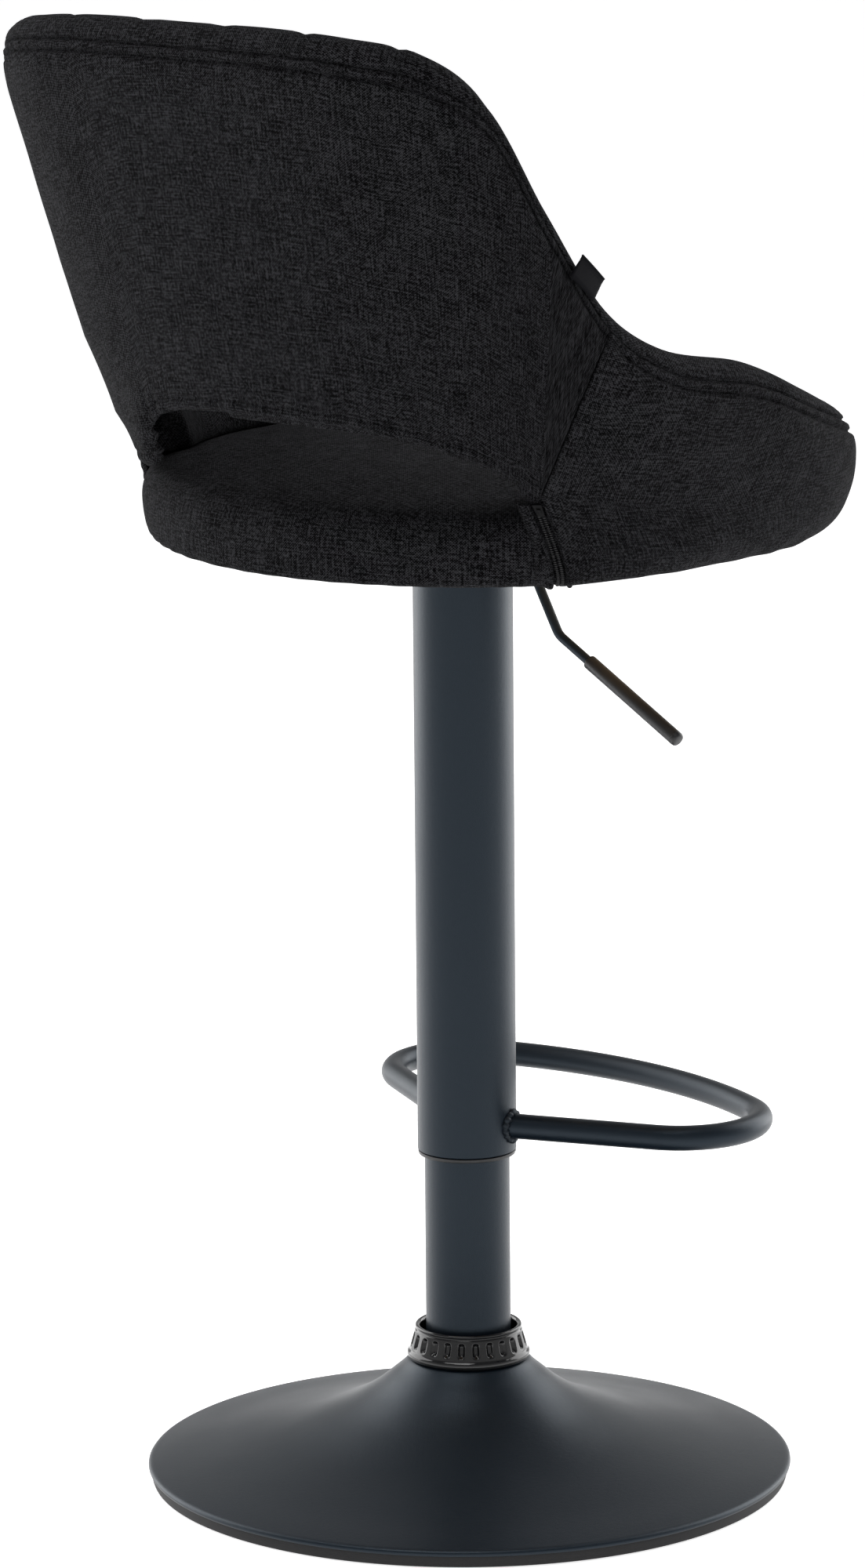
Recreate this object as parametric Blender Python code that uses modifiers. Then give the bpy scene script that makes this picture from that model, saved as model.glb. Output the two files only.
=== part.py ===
"""Gas-lift bar stool with a trumpet base, a bent footrest and an upholstered bucket seat.

Metres, +Z up, the sitter faces -Y. The origin is on the column's axis at floor level.
"""

import math

import bmesh
import bpy
from mathutils import Matrix, Vector

GAP = 0.0003            # clearance between pieces that touch
MERGE = 0.0001          # merge distance for modifiers
ROUND = 36              # steps round the large turned pieces
SMALL_ROUND = 16        # steps round the small turned pieces

# base
BASE_RADIUS = 0.1925
RIM_HEIGHT = 0.009
SHEET = 0.0015
COLLAR_BOTTOM = 0.0725
COLLAR_TOP = 0.0925
COLLAR_RADIUS = 0.0367
COLLAR_NECK = 0.0312
RECESS_COUNT = 24

# column
LOWER_RADIUS = 0.0253
LOWER_TOP = 0.430
OUTER_RADIUS = 0.0294
OUTER_BOTTOM = 0.2005
OUTER_TOP = 0.5530
TUBE_WALL = 0.0015
GAS_RADIUS = 0.014
ROD_RADIUS = 0.005
HUB_RADIUS = 0.0200

# footrest: an arm, a corner arc and a wide front arc on each side
FOOT_HEIGHT = 0.2165
FOOT_TUBE = 0.0075
FOOT_REACH = 0.157
FOOT_HALF_WIDTH = 0.135
FOOT_CORNER_AT = 0.092
FOOT_CORNER = 0.048
ARM_ANGLE = math.radians(64.5)

# seat
SEAT_CENTRE_Y = -0.020
SEAT_BOTTOM = 0.5700
SEAT_WIDEST = 0.588
WAIST_HEIGHT = 0.617
WAIST_SPREAD = 0.028
WAIST_DEPTH = 0.005
SHOULDER_HEIGHT = 0.036
SHOULDER_DEPTH = 0.012
BOARD_THICK = 0.012
PLATE_THICK = 0.0025
PANEL_THICK = 0.003
FRAME_THICK = 0.006
HALF_STEPS = 20         # lofted stations from the middle of the back to the middle of the front


# ---------------------------------------------------------------- scene and materials

for old in list(bpy.data.objects):
    bpy.data.objects.remove(old, do_unlink=True)

parts = bpy.data.collections.new("bar_stool")
bpy.context.scene.collection.children.link(parts)
cutters = bpy.data.collections.new("cutters")
bpy.context.scene.collection.children.link(cutters)


def finish(name, color, roughness, metallic=0.0):
    """A material of its own for one sub-part."""
    material = bpy.data.materials.new(name)
    material.use_nodes = True
    shader = material.node_tree.nodes["Principled BSDF"]
    shader.inputs["Base Color"].default_value = (*color, 1.0)
    shader.inputs["Roughness"].default_value = roughness
    shader.inputs["Metallic"].default_value = metallic
    return material


def coat(name):
    return finish(name, (0.022, 0.025, 0.030), 0.42, 0.1)


def steel(name):
    return finish(name, (0.55, 0.56, 0.58), 0.35, 1.0)


def plastic(name):
    return finish(name, (0.012, 0.012, 0.013), 0.3)


def cloth(name):
    return finish(name, (0.012, 0.012, 0.013), 0.95)


def new_object(name, mesh, material, collection=parts):
    obj = bpy.data.objects.new(name, mesh)
    collection.objects.link(obj)
    if material:
        mesh.materials.clear()
        mesh.materials.append(material)
    return obj


def smooth(obj, angle=35.0):
    obj.data.shade_smooth()
    obj.data.set_sharp_from_angle(angle=math.radians(angle))
    return obj


# ---------------------------------------------------------------- shapes

def turned(name, profile, material, steps=ROUND, closed=True, collection=parts):
    """A profile of (radius, height), down the outer side first, turned about Z."""
    mesh = bpy.data.meshes.new(name)
    points = [(radius, 0.0, height) for radius, height in profile]
    edges = [(i, i + 1) for i in range(len(points) - 1)]
    if closed:
        edges.append((len(points) - 1, 0))
    mesh.from_pydata(points, edges, [])
    obj = new_object(name, mesh, material, collection)
    screw = obj.modifiers.new("turn", "SCREW")
    screw.steps = steps
    screw.render_steps = steps
    screw.use_merge_vertices = True
    screw.merge_threshold = MERGE
    screw.use_smooth_shade = True
    return obj


def tube(name, outer, inner, bottom, top, material, steps=ROUND, collection=parts):
    profile = [(outer, top), (outer, bottom), (inner, bottom), (inner, top)]
    return turned(name, profile, material, steps, collection=collection)


def rod(name, radius, bottom, top, material, steps=SMALL_ROUND, collection=parts):
    profile = [(0.0, top), (radius, top), (radius, bottom), (0.0, bottom)]
    return turned(name, profile, material, steps, False, collection)


def box(name, size, place, material, collection=parts):
    mesh = bpy.data.meshes.new(name)
    bm = bmesh.new()
    bmesh.ops.create_cube(bm, size=1.0)
    bmesh.ops.scale(bm, vec=size, verts=bm.verts)
    bm.to_mesh(mesh)
    bm.free()
    obj = new_object(name, mesh, material, collection)
    obj.location = place
    return obj


def cylinder(name, radius, length, place, axis, material, steps=12, collection=parts):
    mesh = bpy.data.meshes.new(name)
    bm = bmesh.new()
    bmesh.ops.create_cone(bm, cap_ends=True, segments=steps, radius1=radius,
                          radius2=radius, depth=length)
    bm.to_mesh(mesh)
    bm.free()
    obj = new_object(name, mesh, material, collection)
    obj.location = place
    obj.rotation_mode = "QUATERNION"
    obj.rotation_quaternion = Vector((0.0, 0.0, 1.0)).rotation_difference(Vector(axis))
    return obj


def bar(name, points, radius, material, sides=3, collection=parts):
    """A round bar through a list of points, as a closed mesh."""
    curve = bpy.data.curves.new(name, "CURVE")
    curve.dimensions = "3D"
    curve.bevel_depth = radius
    curve.bevel_resolution = sides
    curve.use_fill_caps = True
    spline = curve.splines.new("POLY")
    spline.points.add(len(points) - 1)
    for point, place in zip(spline.points, points):
        point.co = (*place, 1.0)
    guide = bpy.data.objects.new(name + "_curve", curve)
    cutters.objects.link(guide)
    bpy.context.view_layer.update()
    ready = guide.evaluated_get(bpy.context.evaluated_depsgraph_get())
    mesh = bpy.data.meshes.new_from_object(ready)
    mesh.name = name
    bm = bmesh.new()
    bm.from_mesh(mesh)
    bmesh.ops.remove_doubles(bm, verts=bm.verts, dist=MERGE)
    bmesh.ops.recalc_face_normals(bm, faces=bm.faces)
    bm.to_mesh(mesh)
    bm.free()
    obj = new_object(name, mesh, material, collection)
    obj.matrix_world = guide.matrix_world
    bpy.data.objects.remove(guide, do_unlink=True)
    return smooth(obj)


def outline(name, points, thickness, bottom, material, collection=parts):
    """A flat plate of a plan outline, standing on its bottom height."""
    curve = bpy.data.curves.new(name, "CURVE")
    curve.dimensions = "2D"
    curve.fill_mode = "BOTH"
    curve.extrude = thickness / 2
    spline = curve.splines.new("POLY")
    spline.points.add(len(points) - 1)
    for point, place in zip(spline.points, points):
        point.co = (place[0], place[1], 0.0, 1.0)
    spline.use_cyclic_u = True
    guide = bpy.data.objects.new(name + "_curve", curve)
    cutters.objects.link(guide)
    guide.location.z = bottom + thickness / 2
    bpy.context.view_layer.update()
    ready = guide.evaluated_get(bpy.context.evaluated_depsgraph_get())
    mesh = bpy.data.meshes.new_from_object(ready)
    mesh.name = name
    bm = bmesh.new()
    bm.from_mesh(mesh)
    bmesh.ops.remove_doubles(bm, verts=bm.verts, dist=MERGE)
    bmesh.ops.recalc_face_normals(bm, faces=bm.faces)
    bm.to_mesh(mesh)
    bm.free()
    obj = new_object(name, mesh, material, collection)
    obj.matrix_world = guide.matrix_world
    bpy.data.objects.remove(guide, do_unlink=True)
    return obj


def joined(name, pieces, material, collection=parts):
    """Separate solids in one object, each at its place in the world."""
    bpy.context.view_layer.update()
    bm = bmesh.new()
    for piece in pieces:
        ready = piece.evaluated_get(bpy.context.evaluated_depsgraph_get())
        mesh = bpy.data.meshes.new_from_object(ready)
        mesh.transform(piece.matrix_world)
        bm.from_mesh(mesh)
        bpy.data.meshes.remove(mesh)
    for piece in pieces:
        bpy.data.objects.remove(piece, do_unlink=True)
    mesh = bpy.data.meshes.new(name)
    bm.to_mesh(mesh)
    bm.free()
    return new_object(name, mesh, material, collection)


def boolean(obj, tool, operation="DIFFERENCE"):
    modifier = obj.modifiers.new(operation.lower(), "BOOLEAN")
    modifier.operation = operation
    modifier.solver = "EXACT"
    modifier.object = tool
    tool.hide_render = True
    tool.display_type = "WIRE"
    return obj


def rounded_path(corners, radius, steps=4):
    """A path through the corners, each one turned into an arc of about the given radius."""
    corners = [Vector(corner) for corner in corners]
    path = [corners[0]]
    for before, corner, after in zip(corners, corners[1:], corners[2:]):
        start = (before - corner).normalized()
        end = (after - corner).normalized()
        reach = radius / math.tan(start.angle(end) / 2)
        first = corner + start * reach
        last = corner + end * reach
        for step in range(steps + 1):
            t = step / steps
            path.append(first * (1 - t) ** 2 + corner * (2 * t * (1 - t)) + last * t ** 2)
    path.append(corners[-1])
    return path


# ---------------------------------------------------------------- base

def make_base():
    # trumpet of sheet steel: one skin, thickened inwards
    skin = [
        (0.0290, 0.0722), (0.0360, 0.0720), (0.0450, 0.0632), (0.0600, 0.0512), (0.0800, 0.0400),
        (0.1100, 0.0286), (0.1500, 0.0186), (0.1890, 0.0109), (BASE_RADIUS, RIM_HEIGHT), (0.1922, 0.0070),
    ]
    cover = turned("base_cover", skin, coat("base_cover"), closed=False)
    wall = cover.modifiers.new("sheet", "SOLIDIFY")
    wall.thickness = SHEET
    wall.offset = -1.0

    # cast plate that keeps the stool from tipping, its top clear of the trumpet
    tube("ballast_plate", 0.172, 0.0335, 0.0035, 0.0115, finish("ballast_plate", (0.1, 0.1, 0.1), 0.7))

    # felt underlay over the middle of the underside, flush with the rubber edge
    rod("base_underlay", 0.180, 0.0, 0.0030, finish("base_underlay", (0.03, 0.03, 0.03), 0.9), ROUND)

    # rubber edge ring that grips the rim of the trumpet from inside
    ring = [
        (0.1898, 0.0080), (0.1903, 0.0015), (0.1890, 0.0), (0.1810, 0.0), (0.1810, 0.0085),
    ]
    turned("edge_ring", ring, finish("edge_ring", (0.015, 0.015, 0.015), 0.8))

    # sleeve that centres the column, standing on the ballast plate
    sleeve = [
        (0.0280, 0.0700), (0.0280, 0.0150), (0.0330, 0.0150), (0.0330, 0.0126),
        (0.0256, 0.0126), (0.0256, 0.0700),
    ]
    turned("base_socket", sleeve, steel("base_socket"))

    # collar that hides the joint between trumpet and column
    profile = [
        (COLLAR_NECK, COLLAR_TOP), (0.0317, 0.0912), (0.0322, 0.0900), (0.0352, 0.0775),
        (COLLAR_RADIUS, 0.0762), (COLLAR_RADIUS, 0.0736), (0.0358, COLLAR_BOTTOM),
        (0.0290, COLLAR_BOTTOM), (0.0286, 0.0880), (0.0290, COLLAR_TOP),
    ]
    collar = turned("collar_ring", profile, plastic("collar_ring"), RECESS_COUNT)
    tools = []
    for index in range(RECESS_COUNT):
        angle = 2 * math.pi * (index + 0.5) / RECESS_COUNT
        tool = cylinder("recess", 0.0024, 0.004, (0, 0, 0), (0, 0, 1), None, 8, cutters)
        stretch = Matrix.Diagonal((1.0, 2.0, 1.0, 1.0))
        tilt = Matrix.Rotation(math.radians(-13.5), 4, "Y")
        lay = Matrix.Rotation(math.radians(90), 4, "Y") @ Matrix.Rotation(math.radians(90), 4, "Z")
        tool.data.transform(tilt @ lay @ stretch)
        tool.location = (0.0349 * math.cos(angle), 0.0349 * math.sin(angle), 0.0838)
        tool.rotation_mode = "XYZ"
        tool.rotation_euler = (0.0, 0.0, angle)
        tools.append(tool)
    boolean(collar, joined("recesses", tools, None, cutters))


# ---------------------------------------------------------------- column

def make_column():
    # fixed tube, with a foot plug whose stud is held by a nut in the base
    tube("lower_column", LOWER_RADIUS, LOWER_RADIUS - TUBE_WALL, 0.0125, LOWER_TOP, coat("lower_column"))
    inside = LOWER_RADIUS - TUBE_WALL - GAP
    foot = [
        (inside, 0.0190), (inside, 0.0127), (0.0083, 0.0127), (0.0083, 0.0045), (0.0056, 0.0045),
        (0.0056, 0.0190),
    ]
    turned("column_foot", foot, steel("column_foot"), SMALL_ROUND)
    tube("foot_washer", 0.0320, 0.0092, 0.0102, 0.0122, steel("foot_washer"), SMALL_ROUND)
    tube("foot_nut", 0.0150, 0.0100, 0.0036, 0.0099, steel("foot_nut"), 6)

    # plastic bush in the mouth of the fixed tube, which the gas cylinder slides in
    bush = [
        (0.0250, 0.4345), (0.0250, 0.4303), (inside, 0.4303), (inside, 0.3600),
        (GAS_RADIUS + 0.0004, 0.3600), (GAS_RADIUS + 0.0004, 0.4345),
    ]
    turned("guide_bush", bush, plastic("guide_bush"), SMALL_ROUND)

    # the seat turns on this bearing, and comes down on the rubber stop
    tube("thrust_bearing", 0.0130, 0.0056, 0.0193, 0.0253, steel("thrust_bearing"), SMALL_ROUND)


def make_rod():
    # rod of the gas spring, held to the foot plug by a clip and turning in the bearing
    shaft = [
        (0.0, 0.3085), (0.0040, 0.3085), (0.0040, 0.2947), (ROD_RADIUS, 0.2947),
        (ROD_RADIUS, 0.0062), (0.0042, 0.0062), (0.0042, 0.0050), (ROD_RADIUS, 0.0050),
        (0.0044, 0.0040), (0.0, 0.0040),
    ]
    turned("piston_rod", shaft, steel("piston_rod"), SMALL_ROUND, False)
    tube("piston", GAS_RADIUS - TUBE_WALL - GAP, 0.0043, 0.2950, 0.3070, plastic("piston"), SMALL_ROUND)
    tube("race_washer", 0.0130, ROD_RADIUS + GAP, 0.0256, 0.0276, steel("race_washer"), SMALL_ROUND)
    tube("bump_stop", 0.0125, ROD_RADIUS + GAP, 0.0279, 0.0479,
         finish("bump_stop", (0.02, 0.02, 0.02), 0.8), SMALL_ROUND)


def make_lift():
    # gas cylinder, open at the bottom, with its tapered end in the hub under the seat
    inner = GAS_RADIUS - TUBE_WALL
    shell = [
        (0.0048, 0.5490), (0.0122, 0.5490), (0.0130, 0.5080), (GAS_RADIUS, 0.5020), (GAS_RADIUS, 0.0710),
        (inner, 0.0710), (inner, 0.5000), (0.0048, 0.5080),
    ]
    turned("gas_cylinder", shell, finish("gas_cylinder", (0.02, 0.02, 0.022), 0.3, 0.6), SMALL_ROUND)
    tube("cylinder_seal", inner - GAP, ROD_RADIUS + GAP, 0.0725, 0.0825, plastic("cylinder_seal"),
         SMALL_ROUND)

    # outer tube, capped at the top and carrying the footrest
    tube("outer_column", OUTER_RADIUS, OUTER_RADIUS - TUBE_WALL, OUTER_BOTTOM, OUTER_TOP, coat("outer_column"))
    inside = OUTER_RADIUS - TUBE_WALL - GAP
    tube("column_cap", inside, HUB_RADIUS + GAP, OUTER_TOP - 0.004, OUTER_TOP, steel("column_cap"))
    glide = [
        (inside, 0.2180), (inside, OUTER_BOTTOM - GAP),
        (OUTER_RADIUS - 0.0003, OUTER_BOTTOM - GAP), (OUTER_RADIUS - 0.0003, 0.1984),
        (OUTER_RADIUS - 0.0008, 0.1978), (LOWER_RADIUS + 0.0005, 0.1978), (LOWER_RADIUS + 0.0005, 0.2180),
    ]
    turned("column_glide", glide, plastic("column_glide"), 24)

    # valve button in the tapered end
    rod("valve_button", 0.0044, 0.5120, 0.5550, steel("valve_button"), 12)


# ---------------------------------------------------------------- footrest

def footrest_half():
    """Points from the weld on the column to the middle of the front, as (forward, side)."""
    along = Vector((math.cos(ARM_ANGLE), math.sin(ARM_ANGLE)))
    inward = Vector((along.y, -along.x))
    corner = Vector((FOOT_CORNER_AT, FOOT_HALF_WIDTH - FOOT_CORNER))
    bend = corner - inward * FOOT_CORNER
    start = bend - along * (bend.dot(along) - math.sqrt(0.0301 ** 2 - bend.dot(inward) ** 2))
    # the front arc touches the corner arc from outside and passes through the front point
    offset = FOOT_REACH - FOOT_CORNER_AT
    front = (FOOT_CORNER ** 2 - offset ** 2 - corner.y ** 2) / (2 * (FOOT_CORNER - offset))
    middle = Vector((FOOT_REACH - front, 0.0))
    touch = (corner - middle).angle(Vector((1.0, 0.0)))
    points = [start, start.lerp(bend, 0.5)]
    first = math.atan2(-inward.y, -inward.x)
    for step in range(9):
        angle = first + (touch - first) * step / 8
        points.append(corner + FOOT_CORNER * Vector((math.cos(angle), math.sin(angle))))
    for step in range(1, 7):
        angle = touch * (1 - step / 6)
        points.append(middle + front * Vector((math.cos(angle), math.sin(angle))))
    return points


def make_footrest():
    half = footrest_half()
    left = [(side, -forward, FOOT_HEIGHT) for forward, side in half]
    right = [(-side, -forward, FOOT_HEIGHT) for forward, side in reversed(half[:-1])]
    bar("footrest_bar", left + right, FOOT_TUBE, coat("footrest_bar"))

    # weld beads, cut to the column and to the bar
    for side, name in ((1.0, "left_weld"), (-1.0, "right_weld")):
        axis = Vector((side * math.sin(ARM_ANGLE), -math.cos(ARM_ANGLE), 0.0))
        place = Vector((side * half[0].y, -half[0].x, FOOT_HEIGHT))
        ring = [(0.0078 + 0.0026 * math.cos(a), 0.0022 * math.sin(a))
                for a in (-2 * math.pi * i / 6 for i in range(6))]
        bead = turned(name, ring, coat(name), 12)
        bead.location = place + axis * 0.0006
        bead.rotation_mode = "QUATERNION"
        bead.rotation_quaternion = Vector((0.0, 0.0, 1.0)).rotation_difference(axis)
        column = rod(name + "_column", OUTER_RADIUS + GAP, 0.18, 0.25, None, ROUND, cutters)
        stub = cylinder(name + "_stub", FOOT_TUBE + GAP, 0.03, place + axis * 0.0149, axis, None, 12, cutters)
        boolean(bead, column)
        boolean(bead, stub)


# ---------------------------------------------------------------- seat fittings

PLATE_TOP = SEAT_BOTTOM - GAP
PLATE_BOTTOM = PLATE_TOP - PLATE_THICK
PLATE_SIZE = 0.150
BOLT_SPACING = 0.110
LEVER_HEIGHT = PLATE_BOTTOM - 0.0078
LEVER_ROD = 0.00275
PIVOT_X = -0.034


def make_mechanism():
    # stamped plate with a dropped edge, bolted under the seat board
    plate = box("seat_plate", (PLATE_SIZE, PLATE_SIZE, PLATE_THICK), (0, 0, PLATE_TOP - PLATE_THICK / 2),
                coat("seat_plate"))
    corners = [edge for edge in plate.data.edges
               if abs(plate.data.vertices[edge.vertices[0]].co.z
                      - plate.data.vertices[edge.vertices[1]].co.z) > PLATE_THICK / 2]
    weights = plate.data.attributes.new("bevel_weight_edge", "FLOAT", "EDGE")
    for edge in corners:
        weights.data[edge.index].value = 1.0
    rounding = plate.modifiers.new("corners", "BEVEL")
    rounding.width = 0.018
    rounding.segments = 4
    rounding.limit_method = "WEIGHT"
    holes = []
    for x in (-1, 1):
        for y in (-1, 1):
            place = (x * BOLT_SPACING / 2, y * BOLT_SPACING / 2, PLATE_TOP)
            holes.append(cylinder("hole", 0.0034, 0.02, place, (0, 0, 1), None, 12, cutters))
    boolean(plate, joined("plate_holes", holes, None, cutters))

    # hub with the taper that the gas cylinder wedges into, slotted for the lever
    hub = [
        (HUB_RADIUS, PLATE_BOTTOM - GAP), (HUB_RADIUS, 0.5060), (0.0136, 0.5060), (0.0125, 0.5508),
        (0.0125, PLATE_BOTTOM - GAP),
    ]
    sleeve = turned("hub_sleeve", hub, coat("hub_sleeve"), SMALL_ROUND)
    boolean(sleeve, box("lever_slot", (0.022, 0.0085, 0.020), (-0.018, 0.0, 0.5625), None, cutters))

    # channel under the plate, whose two ears hold the lever's pin
    top = PLATE_BOTTOM - GAP
    bracket = box("lever_bracket", (0.014, 0.0156, 0.0130), (PIVOT_X, 0, top - 0.0065), coat("lever_bracket"))
    boolean(bracket, box("channel", (0.02, 0.0116, 0.0130), (PIVOT_X, 0, top - 0.0081), None, cutters))
    boolean(bracket, cylinder("pin_bore", 0.0020, 0.03, (PIVOT_X, 0, LEVER_HEIGHT), (0, 1, 0), None, 12, cutters))
    cylinder("lever_pin", 0.0017, 0.0180, (PIVOT_X, 0, LEVER_HEIGHT), (0, 1, 0), steel("lever_pin"))

    board_top = SEAT_BOTTOM + BOARD_THICK
    number = 0
    for x in (-1, 1):
        for y in (-1, 1):
            number += 1
            bolt = [
                (0.0, board_top - 0.0005), (0.0027, board_top - 0.0005), (0.0027, PLATE_BOTTOM - GAP), (0.0065, PLATE_BOTTOM - GAP),
                (0.0065, PLATE_BOTTOM - 0.0015), (0.0045, PLATE_BOTTOM - 0.0020),
                (0.0045, PLATE_BOTTOM - 0.0045), (0.0, PLATE_BOTTOM - 0.0045),
            ]
            name = "plate_bolt_%d" % number
            screw = turned(name, bolt, steel(name), 8, False)
            nut = [
                (0.0080, board_top - GAP), (0.0080, board_top - 0.0012), (0.0042, board_top - 0.0012),
                (0.0042, SEAT_BOTTOM + 0.0030), (0.0030, SEAT_BOTTOM + 0.0030), (0.0030, board_top - GAP),
            ]
            name = "board_tnut_%d" % number
            insert = turned(name, nut, steel(name), 8)
            for piece in (screw, insert):
                piece.location = (x * BOLT_SPACING / 2, y * BOLT_SPACING / 2, 0.0)


def make_lever():
    # bent rod from the valve button out past the edge of the seat, with a slipped-on grip
    route = [
        (0.0040, 0.0, LEVER_HEIGHT), (-0.0560, 0.0, LEVER_HEIGHT - 0.0010),
        (-0.0785, 0.0, 0.5205), (-0.1720, 0.0, 0.4716),
    ]
    lever = bar("lever_rod", rounded_path(route, 0.012), LEVER_ROD, coat("lever_rod"), 3)
    boss = cylinder("lever_boss", 0.0048, 0.0105, (PIVOT_X, 0, LEVER_HEIGHT), (0, 1, 0), None, 16, cutters)
    boolean(lever, boss, "UNION")
    boolean(lever, cylinder("boss_bore", 0.0020, 0.03, (PIVOT_X, 0, LEVER_HEIGHT), (0, 1, 0), None, 12, cutters))

    inner = Vector(route[2])
    outer = Vector(route[3])
    axis = (outer - inner).normalized()
    length = 0.080
    end = outer + axis * 0.0016
    profile = [
        (0.0, length), (0.0038, length), (0.0043, length - 0.0005), (0.0043, 0.0006), (0.0038, 0.0),
        (LEVER_ROD + GAP, 0.0), (LEVER_ROD + GAP, length - 0.0013), (0.0, length - 0.0013),
    ]
    grip = turned("lever_grip", profile, finish("lever_grip", (0.02, 0.02, 0.022), 0.5), SMALL_ROUND, False)
    grip.rotation_mode = "QUATERNION"
    grip.rotation_quaternion = Vector((0.0, 0.0, 1.0)).rotation_difference(axis)
    grip.location = end - axis * length


# ---------------------------------------------------------------- seat

# rim of the bucket, half of it: side, back-to-front place and height
RIM = [
    (0.000, 0.238, 0.887), (0.070, 0.236, 0.887), (0.127, 0.228, 0.884), (0.174, 0.206, 0.876),
    (0.199, 0.175, 0.851), (0.208, 0.137, 0.792), (0.213, 0.092, 0.733), (0.216, 0.040, 0.703),
    (0.214, -0.030, 0.689), (0.203, -0.087, 0.670), (0.169, -0.141, 0.653), (0.100, -0.181, 0.642),
    (0.000, -0.196, 0.637),
]


def through(points, place):
    """The point at a place from 0 to 1 on a smooth curve, mirrored past both ends."""
    last = len(points) - 1
    index = min(int(place * last), last - 1)
    t = place * last - index

    def at(i):
        side = Vector(points[last - abs(last - abs(i))])
        if i < 0 or i > last:
            side.x = -side.x
        return side

    a, b, c, d = (at(i) for i in (index - 1, index, index + 1, index + 2))
    return 0.5 * (2 * b + (c - a) * t + (2 * a - 5 * b + 4 * c - d) * t ** 2
                  + (3 * b - a - 3 * c + d) * t ** 3)


def oval(direction, half_width, back, front):
    """Distance from the seat's centre to a rounded plan outline, along a direction."""
    reach = back if direction.y > 0 else front
    power = 2.0 if direction.y > 0 else 2.5
    total = abs(direction.x / half_width) ** power + abs(direction.y / reach) ** power
    return total ** (-1 / power)


def station(place):
    """Rim point and plan direction at a place round the seat: 0 back, 1 front, then back to 2."""
    side = place - 2 if place > 1 else place
    rim = through(RIM, abs(side))
    rim.x = math.copysign(rim.x, side)
    return rim, Vector((rim.x, rim.y - SEAT_CENTRE_Y)).normalized()


def surface(place, height):
    """Point of the seat's outer surface at a place round it and a height."""
    rim, direction = station(place)
    widest = oval(direction, 0.2070, 0.196, 0.202)
    if height < SEAT_WIDEST:
        drop = (SEAT_WIDEST - height) / (SEAT_WIDEST - SEAT_BOTTOM)
        bottom = oval(direction, 0.189, 0.189, 0.184)
        distance = bottom + (widest - bottom) * math.sqrt(max(0.0, 1 - drop ** 2))
    else:
        rise = min(1.0, (height - SEAT_WIDEST) / (rim.z - SEAT_WIDEST))
        top = math.hypot(rim.x, rim.y - SEAT_CENTRE_Y)
        if top > widest:
            waist = max(0.0, 1 - ((height - WAIST_HEIGHT) / WAIST_SPREAD) ** 2)
            distance = widest + (top - widest) * rise ** 0.92 - WAIST_DEPTH * waist
        else:
            distance = top + (widest - top) * math.sqrt(1 - rise ** 2)
        # the shoulder below the rim curves inwards
        zone = min(SHOULDER_HEIGHT, (rim.z - SEAT_WIDEST) / 2)
        into = max(0.0, 1 - (rim.z - height) / zone)
        distance -= SHOULDER_DEPTH * zone / SHOULDER_HEIGHT * min(1.0, into) ** 2
    return Vector((direction.x * distance, SEAT_CENTRE_Y + direction.y * distance, height))


def outside(place, height, inset=0.0):
    """The same point, moved inwards on the level so that a skin between is inset thick."""
    point = surface(place, height)
    if inset == 0.0:
        return point
    small = 0.002
    along = surface(place + small, height) - surface(place - small, height)
    outward = Vector((-along.y, along.x, 0.0)).normalized()
    if outward.dot(point - Vector((0.0, SEAT_CENTRE_Y, height))) < 0:
        outward = -outward
    lean = (surface(place, height + small) - surface(place, height - small)).dot(outward) / (2 * small)
    return point - outward * inset * min(1.5, math.hypot(1.0, lean))


def grid_skin(name, rows, thickness, material):
    """An open skin over rows of points, thickened inwards; it runs round the seat and upwards."""
    mesh = bpy.data.meshes.new(name)
    count = len(rows[0])
    points = [point for row in rows for point in row]
    faces = []
    for row in range(len(rows) - 1):
        for column in range(count - 1):
            start = row * count + column
            faces.append((start, start + count, start + count + 1, start + 1))
    mesh.from_pydata(points, [], faces)
    obj = smooth(new_object(name, mesh, material), 60.0)
    wall = obj.modifiers.new("cloth", "SOLIDIFY")
    wall.thickness = thickness
    wall.offset = -1.0
    return obj


def ring_skin(name, rings, material, looped):
    """A closed skin over closed rings; the last ring meets the first, or both are capped."""
    mesh = bpy.data.meshes.new(name)
    bm = bmesh.new()
    grid = [[bm.verts.new(point) for point in ring] for ring in rings]
    count = len(rings[0])
    for row in range(len(grid) if looped else len(grid) - 1):
        lower = grid[row]
        upper = grid[(row + 1) % len(grid)]
        for column in range(count):
            after = (column + 1) % count
            bm.faces.new((lower[column], lower[after], upper[after], upper[column]))
    if not looped:
        bm.faces.new(list(reversed(grid[0])))
        bm.faces.new(grid[-1])
    bmesh.ops.recalc_face_normals(bm, faces=bm.faces)
    bm.to_mesh(mesh)
    bm.free()
    return smooth(new_object(name, mesh, material), 60.0)


def spread(start, end, steps):
    return [start + (end - start) * step / steps for step in range(steps + 1)]


# edges of the fabric panels, as places round the seat: 0 at the back, 1 at the front
SEAM_DROP = 0.0125      # rim seam below the top of the roll
HEM_TOP = 0.6600
CORNER_PLACE = 0.412    # where hem, slanted seam and zip meet
CORNER_HEIGHT = 0.6230
SEAM_END_PLACE = 0.500
ZIP_END_PLACE = 0.446
ZIP_WIDTH = 0.030
SEAM_GAP = 0.003
TAG_PLACE = 0.466
TAG_WIDTH = 0.021
TAG_HEIGHT = 0.012
TAG_TURN = math.radians(50)


def fold(place):
    """Place on the half seat."""
    place = abs(place)
    return place if place <= 1 else 2 - place


def rim_seam(place):
    return station(place)[0].z - SEAM_DROP


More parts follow.
